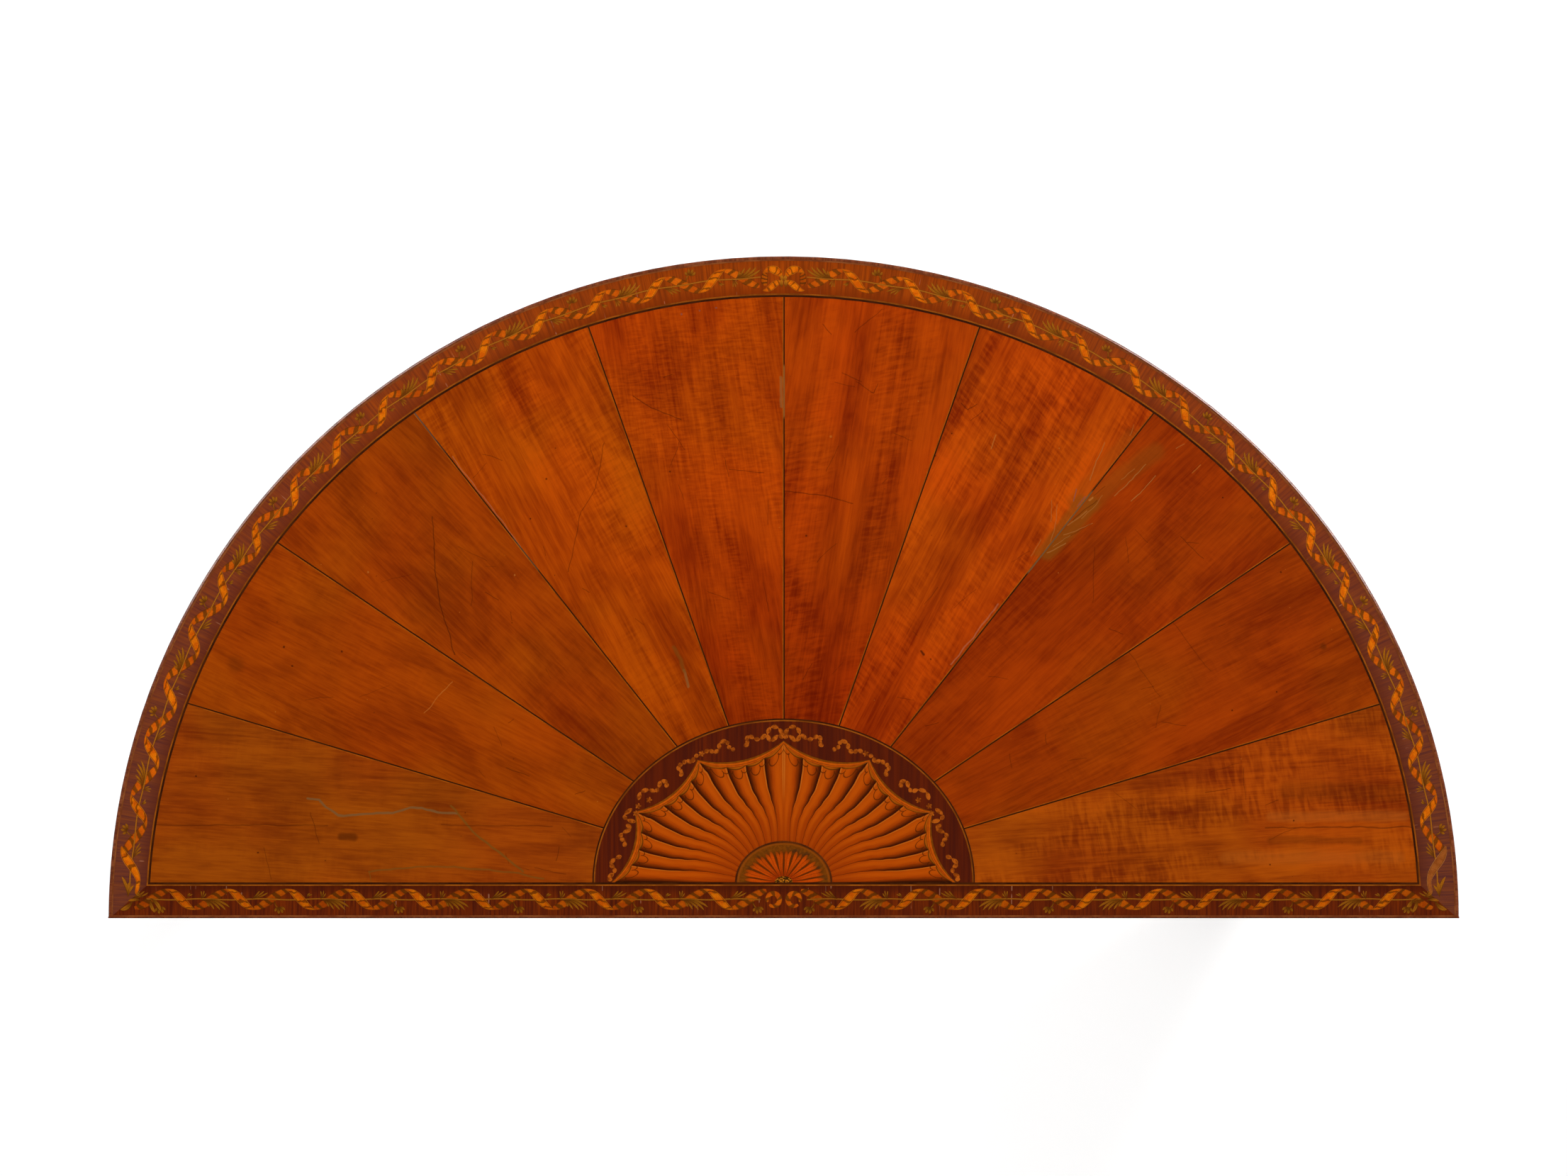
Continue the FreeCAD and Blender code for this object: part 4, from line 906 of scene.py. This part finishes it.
ribbon_near = engraved("ribbon_near_face", front_wood)
ribbon_mend = engraved("ribbon_mended_face", mend_wood)
ribbon_far = engraved("ribbon_far_face", back_wood)
sprig_wood = engraved("leaf_wood", leaf_wood)
stalk_wood = engraved("stem_wood", stem_wood)

dice = random.Random(11)
fronts, backs, leaves, stems, mended = start(), start(), start(), start(), start()
for side in (1, -1):
    for place, first, count, end, shade, far, feathers in (
        (on_curve(side), CURVED_FIRST, 15, 0.892, 1.0, 1.18, 1),
        (on_back(side), BACK_FIRST, 10, 0.575, 0.78, 1.0, 0),
    ):
        for number in range(-1, count):
            run = first + PITCH * number
            tone = shade * dice.uniform(0.9, 1.06)
            if number >= 0:
                ribbon_front(fronts, place, run, tone)
            ribbon_back(backs, place, run, tone * far)
            for root, share, belly, *tips in SPRIG_TURN if number % 2 == feathers else BUD_TURN:
                spray(leaves, place, run, root, tone * share, belly, *tips)
        path = []
        for step in range(161):
            run = between(STEM_START, end, step / 160)
            path.append((run, 0.0005 * sin(run * 2 * pi / PITCH)))
        slip(stems, place, path, [STEM_WIDTH] * len(path), "stem", shade)
for side in (1, -1):
    place = on_curve(side)
    for cut, level, tone, *loop in (
        (fronts, "front", 1.0, (1.6, 0.0, 1.6), (3.0, 2.2, 4.6), (5.0, 4.6, 6.6), (8.2, 6.5, 7.3),
         (11.7, 7.2, 5.8), (15.1, 6.2, 4.0), (18.3, 4.0, 0.6)),
        (backs, "leaf", 0.85, (15.6, 4.4, 2.0), (16.8, 2.5, 5.0), (17.4, -0.4, 6.0), (17.6, -3.8, 6.2),
         (16.6, -7.4, 3.0)),
        (fronts, "front", 1.0, (2.0, -3.4, 1.6), (4.0, -4.2, 3.6), (6.6, -5.4, 5.2), (9.2, -7.2, 5.9),
         (12.2, -9.6, 5.4), (15.6, -11.4, 3.4), (19.2, -11.8, 0.6)),
    ):
        ribbon(cut, place, loop, 4, level, tone)
    leaf(leaves, place, (0.0017, -0.0046), (0.0017, 0.0018), 0.0036, 0.04, "knot", 1.25)
    leaf(leaves, place, (0.0017, -0.0094), (0.0016, -0.0020), 0.0036, -0.04, "knot", 1.25)
    tail = ((855, 10.6, 1.0), (860, 8.6, 5.2), (866, 4.6, 7.6), (872, -0.4, 7.4), (878, -4.6, 6.2),
            (885, -7.2, 4.0), (893, -6.4, 3.4), (897, -5.4, 0.6))
    ribbon(fronts if side > 0 else mended, place, tail, 3, "front", 0.95)
    spray(leaves, place, 0.0, (0.9000, 0.0014), 0.95, 0.6, (0.8815, 0.0080, 0.0032, 0.08),
          (0.8850, 0.0048, 0.0026, 0.04), (0.8860, 0.0006, 0.0028, -0.04), (0.8890, -0.0036, 0.0024, -0.1))
    place = on_back(side)
    ring, widths = [], []
    for step in range(25):
        turn = radians(200 - 330 * step / 24)
        ring.append((0.0094 - 0.0056 * cos(turn), -0.0058 * sin(turn) + 0.0004))
        widths.append(0.0050 * sin(pi * (0.05 + 0.9 * step / 24)) ** 0.4)
    slip(backs, place, ring, widths, "leaf", 0.95, 5)
    for root, tip, width, bend in (
        ((0.572, -0.001), (0.5625, 0.0105), 0.0038, 0.1), ((0.572, -0.001), (0.5675, 0.0120), 0.0034, -0.1),
        ((0.588, 0.0015), (0.5990, 0.0096), 0.0046, 0.12), ((0.578, -0.002), (0.5860, -0.0080), 0.0036, 0.1),
        ((0.580, 0.001), (0.5920, 0.0016), 0.0030, -0.08),
    ):
        leaf(leaves, place, root, tip, width, bend, "leaf", 0.8, 0.6)
piece(backs, "ribbon_far_faces", ribbon_far)
piece(stems, "border_stems", stalk_wood)
piece(leaves, "border_leaves", sprig_wood)
piece(fronts, "ribbon_near_faces", ribbon_near)
piece(mended, "ribbon_mended_end", ribbon_mend)

# Half patera: ground, swag and shell
# A dark kingwood ground inside the ebony and box arcs; a swag of box and dyed slips on the shell's points;
# and twenty-four flutes of satinwood, each shaded on one side in hot sand and engraved with a scallop
# at its end.
SHELL = (0.1558, 0.1280)
ROSETTE = (0.0439, 0.0374)
PATERA = (0.1703, 0.14549)
SWAG_DROP = 0.0090
SWAG_WIDTHS = (0.0022, 0.0056)
SWAY = (
    (0.27, 0.0), (0.33, 2.3), (0.38, 3.3), (0.44, 3.5), (0.52, 2.4), (0.60, 0.5), (0.68, -0.6), (0.78, -0.5),
    (0.9, 0.3),
)


def fan_place(side):
    return lambda across, up: (side * across, FAN_CENTRE[1] - up)


def ray(bearing):
    angle = radians(bearing)
    return SHELL[0] * cos(angle), SHELL[1] * sin(angle)


def swag_share(number, bearing, inset):
    """How far out along a ray the swag's hanging edge lies, as a share of the way to the points."""
    (x1, y1), (x2, y2) = ray(30 * number), ray(30 * number + 30)
    span = hypot(x2 - x1, y2 - y1)
    radius = ((span / 2) ** 2 + SWAG_DROP ** 2) / (2 * SWAG_DROP)
    reach = radius - SWAG_DROP
    cx = (x1 + x2) / 2 + reach * (y2 - y1) / span
    cy = (y1 + y2) / 2 + reach * (x1 - x2) / span
    dx, dy = ray(bearing)
    square, dot = dx * dx + dy * dy, dx * cx + dy * cy
    rest = cx * cx + cy * cy - (radius + inset) ** 2
    return (dot - sqrt(max(dot * dot - square * rest, 0.0))) / square


def swag_width(bearing):
    """The swag is thin at the points of the shell and full halfway between them."""
    return between(*SWAG_WIDTHS, sin(pi * (bearing / 30 % 1)) ** 0.7)


def oval_share(oval, bearing):
    dx, dy = ray(bearing)
    return 1 / hypot(dx / oval[0], dy / oval[1])


def joint_bearing(number, share):
    """The line between two flutes, which runs out from the rosette in an S."""
    gain = {0: 0.0, 1: 0.55, 11: 0.6, 12: 0.0}.get(number, 1.0)
    sway = 0.0
    for (r1, s1), (r2, s2) in zip(SWAY, SWAY[1:]):
        if r1 <= share <= r2:
            sway = between(s1, s2, 0.5 - 0.5 * cos(pi * (share - r1) / (r2 - r1)))
    return 7.5 * number + gain * sway


def flute_bearing(number, share, across):
    return between(joint_bearing(number, share), joint_bearing(number + 1, share), across)


ground, swag = start(), start()
ground_rows, swag_rows = [], []
for number in range(6):
    for step in range(19 if number == 5 else 18):
        bearing = 30 * (number + step / 18)
        hang = swag_share(number, bearing, 0.0)
        dx, dy = ray(bearing)
        for rows, width, end, run in (
            (ground_rows, 5, oval_share(PATERA, bearing), bearing / 180),
            (swag_rows, 4, swag_share(number, bearing, swag_width(bearing)), number + step / 18),
        ):
            row = []
            for j in range(width + 1):
                share = between(hang, end, j / width)
                row.append((dx * share, FAN_CENTRE[1] - dy * share, run, j / width))
            rows.append(row)
lay(ground, ground_rows, GROUND, VENEER)
lay(swag, swag_rows, LEVELS["back"], VENEER)

patera_wood = crossband("kingwood_patera", srgb(85, 27, 8), srgb(62, 20, 12), srgb(98, 32, 8), coordinates)[0]
piece(ground, "patera_dark_ground", patera_wood, ["patera_ground"])

swag_wood, tree, shader = material("swag_slips", POLISHED, 0.1, 0.3)
across = split(uv_place(tree))[1]
cloud = rise(noise(coordinates(tree), (240.0, 240.0, 240.0), 2.0, 0.5), 0.3, 0.7)
wood = blend(cloud, srgb(136, 70, 8), srgb(112, 56, 6))
for low, high, light, dark in (
    (0.28, 0.34, srgb(206, 92, 8), srgb(190, 78, 6)), (0.66, 0.72, srgb(192, 80, 6), srgb(170, 66, 6)),
):
    wood = blend(rise(across, low, high), wood, blend(cloud, light, dark))
for spot, half, depth in (
    (0.0, 0.09, 0.8), (0.31, 0.06, 0.6), (0.5, 0.04, 0.35), (0.68, 0.07, 0.75), (1.0, 0.09, 0.8),
):
    wood = stain(bars_at(across, (spot,), half), depth, wood, srgb(84, 36, 5))
put(wood, shader.inputs["Base Color"])
piece(swag, "patera_swag_slips", swag_wood, ["patera_swag_line"])

shell_wood, tree, shader = material("shell_sand_shaded", POLISHED, 0.1, 0.3)
parts = split(uv_place(tree))
across, inward, reach = parts[0], parts[1], tone_of(tree)
grain = rise(noise(uv_place(tree), (15.0, 1.3, 1.0), 3.0, 0.6), 0.3, 0.7)
wood = blend(grain, srgb(154, 54, 3), srgb(170, 66, 4))
glow = rise(calc("ABSOLUTE", calc("SUBTRACT", across, 0.68)), 0.4, 0.0)
wood = stain(glow, 0.6, wood, srgb(196, 84, 6))
wood = stain(rise(reach, 0.4, 0.0), 0.5, wood, srgb(138, 46, 4))
wide = calc("MULTIPLY_ADD", rise(reach, 0.1, 0.8), 0.36, 0.14)
shade = rise(across, wide, 0.0)
depth = calc("MULTIPLY_ADD", rise(reach, 0.12, 0.6), 0.66, 0.32)
wood = stain(shade, depth, wood, srgb(44, 14, 3))
wood = stain(rise(across, 0.05, 0.015), 0.85, wood, srgb(44, 16, 4))
light_edge = times(bars_at(across, (0.955,), 0.05), rise(reach, 0.3, 0.7))
wood = stain(light_edge, 0.6, wood, srgb(198, 108, 28))
rounded = times(across, calc("SUBTRACT", 1.0, across))
hang = calc("SUBTRACT", inward, calc("MULTIPLY_ADD", rounded, 0.5, 0.01))
wood = stain(rise(hang, 0.01, -0.02), 0.8, wood, srgb(158, 78, 9))
wood = stain(bars_at(hang, (-0.01,), 0.035), 0.85, wood, srgb(76, 44, 6))
for cu, cd, ru, rd, thick in (
    (0.5, 0.31, 0.25, 0.26, 0.15), (0.12, 0.19, 0.15, 0.13, 0.28), (0.88, 0.19, 0.15, 0.13, 0.28),
):
    du = calc("DIVIDE", calc("SUBTRACT", across, cu), ru)
    dd = calc("DIVIDE", calc("SUBTRACT", inward, cd), rd)
    reached = vector("LENGTH", join(du, dd))
    line = rise(calc("ABSOLUTE", calc("SUBTRACT", reached, 1.0)), thick, thick * 0.35)
    line = times(line, rise(dd, -0.3, 0.1))
    wood = stain(line, 0.8, wood, srgb(74, 30, 4))
put(wood, shader.inputs["Base Color"])
for side_name, side in (("right", 1), ("left", -1)):
    shell = start()
    for number in range(12):
        ends = []
        for j in range(9):
            inner, outer = 0.29, 0.86
            for again in range(4):
                inner = oval_share(ROSETTE, flute_bearing(number, inner, j / 8))
                far = flute_bearing(number, outer, j / 8)
                outer = swag_share(number // 4, far, swag_width(far) - 0.0002)
            ends.append((inner, outer))
        rows = []
        for i in range(33):
            row = []
            for j, (inner, outer) in enumerate(ends):
                share = between(inner, outer, i / 32)
                dx, dy = ray(flute_bearing(number, share, j / 8))
                x, y = fan_place(side)(dx * share, dy * share)
                row.append((x, y, j / 8, (outer - share) * hypot(dx, dy) / 0.02, i / 32))
            rows.append(row)
        lay(shell, rows, GROUND, VENEER)
    piece(shell, f"patera_flutes_{side_name}", shell_wood, [f"patera_shell_{side_name}"])

# Ribbon bows of the patera
# Small knots and fluttering ribbon ends in pale wood on the dark ground, one at each point of the shell.


def bow_colours(tree, along, edge):
    cloud = noise(coordinates(tree), (330.0, 330.0, 330.0), 2.0, 0.5)
    wood = blend(rise(cloud, 0.36, 0.62), srgb(126, 54, 8), srgb(178, 86, 16))
    return blend(rise(edge, 0.7, 1.0), wood, srgb(74, 30, 8))


bow_wood = engraved("bow_wood", bow_colours)
TRAILS = (
    ((0.3, 132.2), (4.7, 139.3), (11.3, 139.9), (14.6, 133.8), (11.3, 127.8), (4.7, 132.7), (0.3, 130.0)),
    ((15.8, 133.8), (21.3, 129.4), (26.8, 130.0), (31.2, 132.2), (33.9, 127.8), (31.7, 125.0), (36.1, 123.4)),
    ((71.4, 117.3), (67.0, 119.5), (63.1, 117.3), (58.7, 120.1), (57.6, 125.6), (51.6, 127.8), (50.4, 123.9),
     (47.7, 120.6), (43.8, 120.1)),
    ((76.9, 115.1), (80.7, 112.9), (82.9, 108.5), (87.9, 110.1), (91.2, 106.8), (95.1, 105.2), (94.0, 100.8),
     (91.2, 99.7), (94.0, 95.8)),
    ((131.4, 74.4), (128.7, 81.5), (121.5, 83.7), (116.0, 82.1), (113.2, 85.4), (110.5, 91.4), (105.0, 89.8),
     (107.2, 85.9)),
    ((136.9, 66.6), (143.5, 61.1), (141.3, 56.7), (133.6, 54.5)),
    ((142.4, 52.3), (138.0, 48.5), (145.2, 44.6), (147.4, 40.2), (143.5, 36.9), (144.1, 31.9)),
    ((146.3, 23.7), (151.8, 21.5), (156.7, 16.5), (152.9, 13.2), (153.4, 8.3), (158.4, 4.4), (155.1, 1.7)),
)
KNOTS = ((74.1, 116.2), (131.4, 68.8), (121.5, 74.4), (133.6, 62.2))
bows = start()
for side in (1, -1):
    place = fan_place(side)
    for trail in TRAILS:
        path = smooth([(x / 1000, up / 1000) for x, up in trail], 8)
        widths = [0.0005 + 0.0041 * abs(sin(pi * step / 8)) ** 0.8 for step in range(len(path))]
        slip(bows, place, path, widths, "leaf", dice.uniform(0.95, 1.1), climb=0.00002)
    for x, up in KNOTS:
        for step in range(5):
            turn = radians(72 * step + 20)
            tip = (x / 1000 + 0.0028 * cos(turn), up / 1000 + 0.0028 * sin(turn))
            leaf(bows, place, (x / 1000, up / 1000), tip, 0.0018, 0.2, "leaf", dice.uniform(0.8, 1.1))
piece(bows, "patera_bows", bow_wood)

# Half rosette
# A ring of greenish stained holly, petals of orange-red wood laid side by side, and a gold seed head.
INNER = (0.0423, 0.0358)
SEED_HEAD = (0.0082, 0.0056)


def rosette_point(bearing, share):
    angle = radians(bearing)
    return INNER[0] * share * cos(angle), INNER[1] * share * sin(angle)


def on_disc(along, across):
    out, up = rosette_point(180 * along, between(0.02, 1.0, across))
    return out, FAN_CENTRE[1] - up, along, across


disc = start()
lay(disc, grid(60, 8, on_disc), GROUND, VENEER)
ring_wood, tree, shader = material("rosette_stained_ground", POLISHED, 0.1, 0.3)
out = split(uv_place(tree))[1]
fleck = rise(noise(coordinates(tree), (380.0, 380.0, 380.0), 3.0, 0.6), 0.35, 0.65)
wood = blend(fleck, srgb(122, 62, 9), srgb(106, 53, 7))
smoke = noise(uv_place(tree), (15.0, 2.0, 1.0), 2.0, 0.5)
smoke = times(rise(smoke, 0.54, 0.68), bars_at(out, (0.84,), 0.12))
wood = stain(smoke, 0.7, wood, srgb(54, 34, 18))
wood = blend(rise(out, 0.86, 0.66), wood, srgb(92, 40, 5))
wood = stain(bars_at(out, (0.975,), 0.035), 0.8, wood, srgb(138, 66, 12))
put(wood, shader.inputs["Base Color"])
piece(disc, "rosette_ring", ring_wood, ["rosette_ground"])


def petal_colours(tree, along, edge):
    wood = blend(rise(along, 0.0, 0.5), srgb(150, 46, 2), srgb(188, 68, 4))
    wood = stain(rise(along, 0.76, 1.0), 0.85, wood, srgb(128, 58, 7))
    return stain(rise(edge, 0.6, 1.0), 0.75, wood, srgb(92, 34, 4))


petals = start()
for number in range(22):
    bearing = 5 + 170 * number / 21
    sway = 1.6 if number % 2 else -1.6
    tip = 0.81 + 0.05 * abs(cos(radians(bearing))) + dice.uniform(-0.03, 0.03)
    drift = dice.uniform(-1.2, 1.2)
    path, widths = [], []
    for step in range(17):
        share = between(0.14, tip, step / 16)
        wave = sway * sin(pi * step / 16) + drift * sin(2 * pi * step / 16)
        path.append(rosette_point(bearing + wave, share))
        rounded = max(step / 16 - 0.72, 0) / 0.28
        widths.append(0.0050 * share * sqrt(1 - rounded ** 2) + 0.0001)
    slip(petals, fan_place(1), path, widths, "leaf", dice.uniform(0.85, 1.05), 5)
piece(petals, "rosette_petals", engraved("petal_wood", petal_colours))


def seed_colours(tree, along, edge):
    dots = tree.nodes.new("ShaderNodeTexVoronoi")
    dots.inputs["Scale"].default_value = 760.0
    put(coordinates(tree), dots.inputs["Vector"])
    return blend(rise(dots.outputs["Distance"], 0.6, 0.35), srgb(58, 34, 6), srgb(186, 106, 16))


def on_seeds(along, across):
    turn, share = pi * along, between(0.05, 1.0, across)
    out, up = SEED_HEAD[0] * share * cos(turn), SEED_HEAD[1] * share * sin(turn)
    return out, FAN_CENTRE[1] - up, along, across / 2


seeds = start()
lay(seeds, grid(24, 3, on_seeds), LEVELS["front"], LOW)
piece(seeds, "rosette_seeds", engraved("seed_wood", seed_colours))
rosette_edge = line_wood("rosette_line_wood", srgb(96, 44, 8), srgb(70, 28, 5), 0.3)[0]
dress(["rosette_line"], rosette_edge)

# Camera, floor and light
# A plain pale studio floor under a straight view down on the top, as the photograph has it.
# Soft boxes give the light and stay out of the polish, so that the top never mirrors one. Cards that show
# only in the gloss give the sheen: low ones on frieze and legs, high ones the bright line on the nosing.
CAMERA_ABOVE = 3.343
AIM_HEIGHT = 0.7
camera_data = bpy.data.cameras.new("camera")
camera_data.lens = 85.0
camera_data.sensor_width = 36.0
camera_data.clip_end = 60.0
camera = bpy.data.objects.new("camera", camera_data)
camera.location = (-0.0003, 0.0008, TOP + CAMERA_ABOVE)
camera.rotation_euler = (0.0, 0.0, pi)
bpy.context.scene.collection.objects.link(camera)
bpy.context.scene.camera = camera

for name, place, height, power, glossy in (
    ("soft_box_key", (-2.6, -2.0, 1.9), 1.8, 138.0, False),
    ("soft_box_fill", (2.5, -1.8, 2.7), 1.8, 84.0, False),
    ("soft_box_back", (0.4, 3.0, 2.6), 1.8, 76.0, False),
    ("low_card_right", (-2.6, -2.0, 0.42), 0.78, 36.0, True),
    ("low_card_left", (2.5, -1.8, 0.42), 0.78, 24.0, True),
    ("high_card_right", (-2.2, -1.7, 3.2), 1.0, 70.0, True),
    ("high_card_left", (2.2, -1.6, 3.2), 1.0, 35.0, True),
):
    lamp = bpy.data.lights.new(name, "AREA")
    lamp.shape = "RECTANGLE"
    lamp.size = 1.8
    lamp.size_y = height
    lamp.energy = power
    box = bpy.data.objects.new(name, lamp)
    box.visible_camera = False
    box.visible_glossy = glossy
    box.visible_diffuse = not glossy
    box.location = place
    reach = hypot(place[0], place[1])
    turn = atan2(place[1], place[0]) + pi / 2
    box.rotation_euler = (atan2(reach, place[2] - AIM_HEIGHT), 0.0, turn)
    bpy.context.scene.collection.objects.link(box)

world = bpy.data.worlds.new("studio")
world.use_nodes = True
bpy.context.scene.world = world
tree = world.node_tree
sky = tree.nodes["Background"]
dim = rise(split(coordinates(tree, "Generated"))[2], 0.9, 0.35)
put(times(dim, 0.85), sky.inputs["Strength"])
white = tree.nodes.new("ShaderNodeBackground")
white.inputs["Color"].default_value = (1.0, 1.0, 1.0, 1.0)
light_path = tree.nodes.new("ShaderNodeLightPath")
choice = tree.nodes.new("ShaderNodeMixShader")
put(light_path.outputs["Is Camera Ray"], choice.inputs[0])
put(sky.outputs[0], choice.inputs[1])
put(white.outputs[0], choice.inputs[2])
put(choice.outputs[0], tree.nodes["World Output"].inputs["Surface"])

bpy.ops.mesh.primitive_plane_add(size=40.0, location=(0.0, 0.0, -0.0005))
floor = bpy.context.object
floor.name = "floor"
floor_finish, tree, shader = material("studio_floor", 0.9, specular=0.1)
shader.inputs["Base Color"].default_value = (0.8, 0.8, 0.8, 1.0)
light_path = tree.nodes.new("ShaderNodeLightPath")
shader.inputs["Emission Color"].default_value = (1.0, 1.0, 1.0, 1.0)
away = rise(vector("LENGTH", coordinates(tree)), 1.6, 5.0)
glow = calc("MULTIPLY_ADD", away, 0.66, 0.34)
glow = times(light_path.outputs["Is Camera Ray"], glow)
put(glow, shader.inputs["Emission Strength"])
floor.data.materials.append(floor_finish)
floor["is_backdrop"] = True

bpy.context.scene.view_settings.view_transform = "Standard"
low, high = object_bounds()
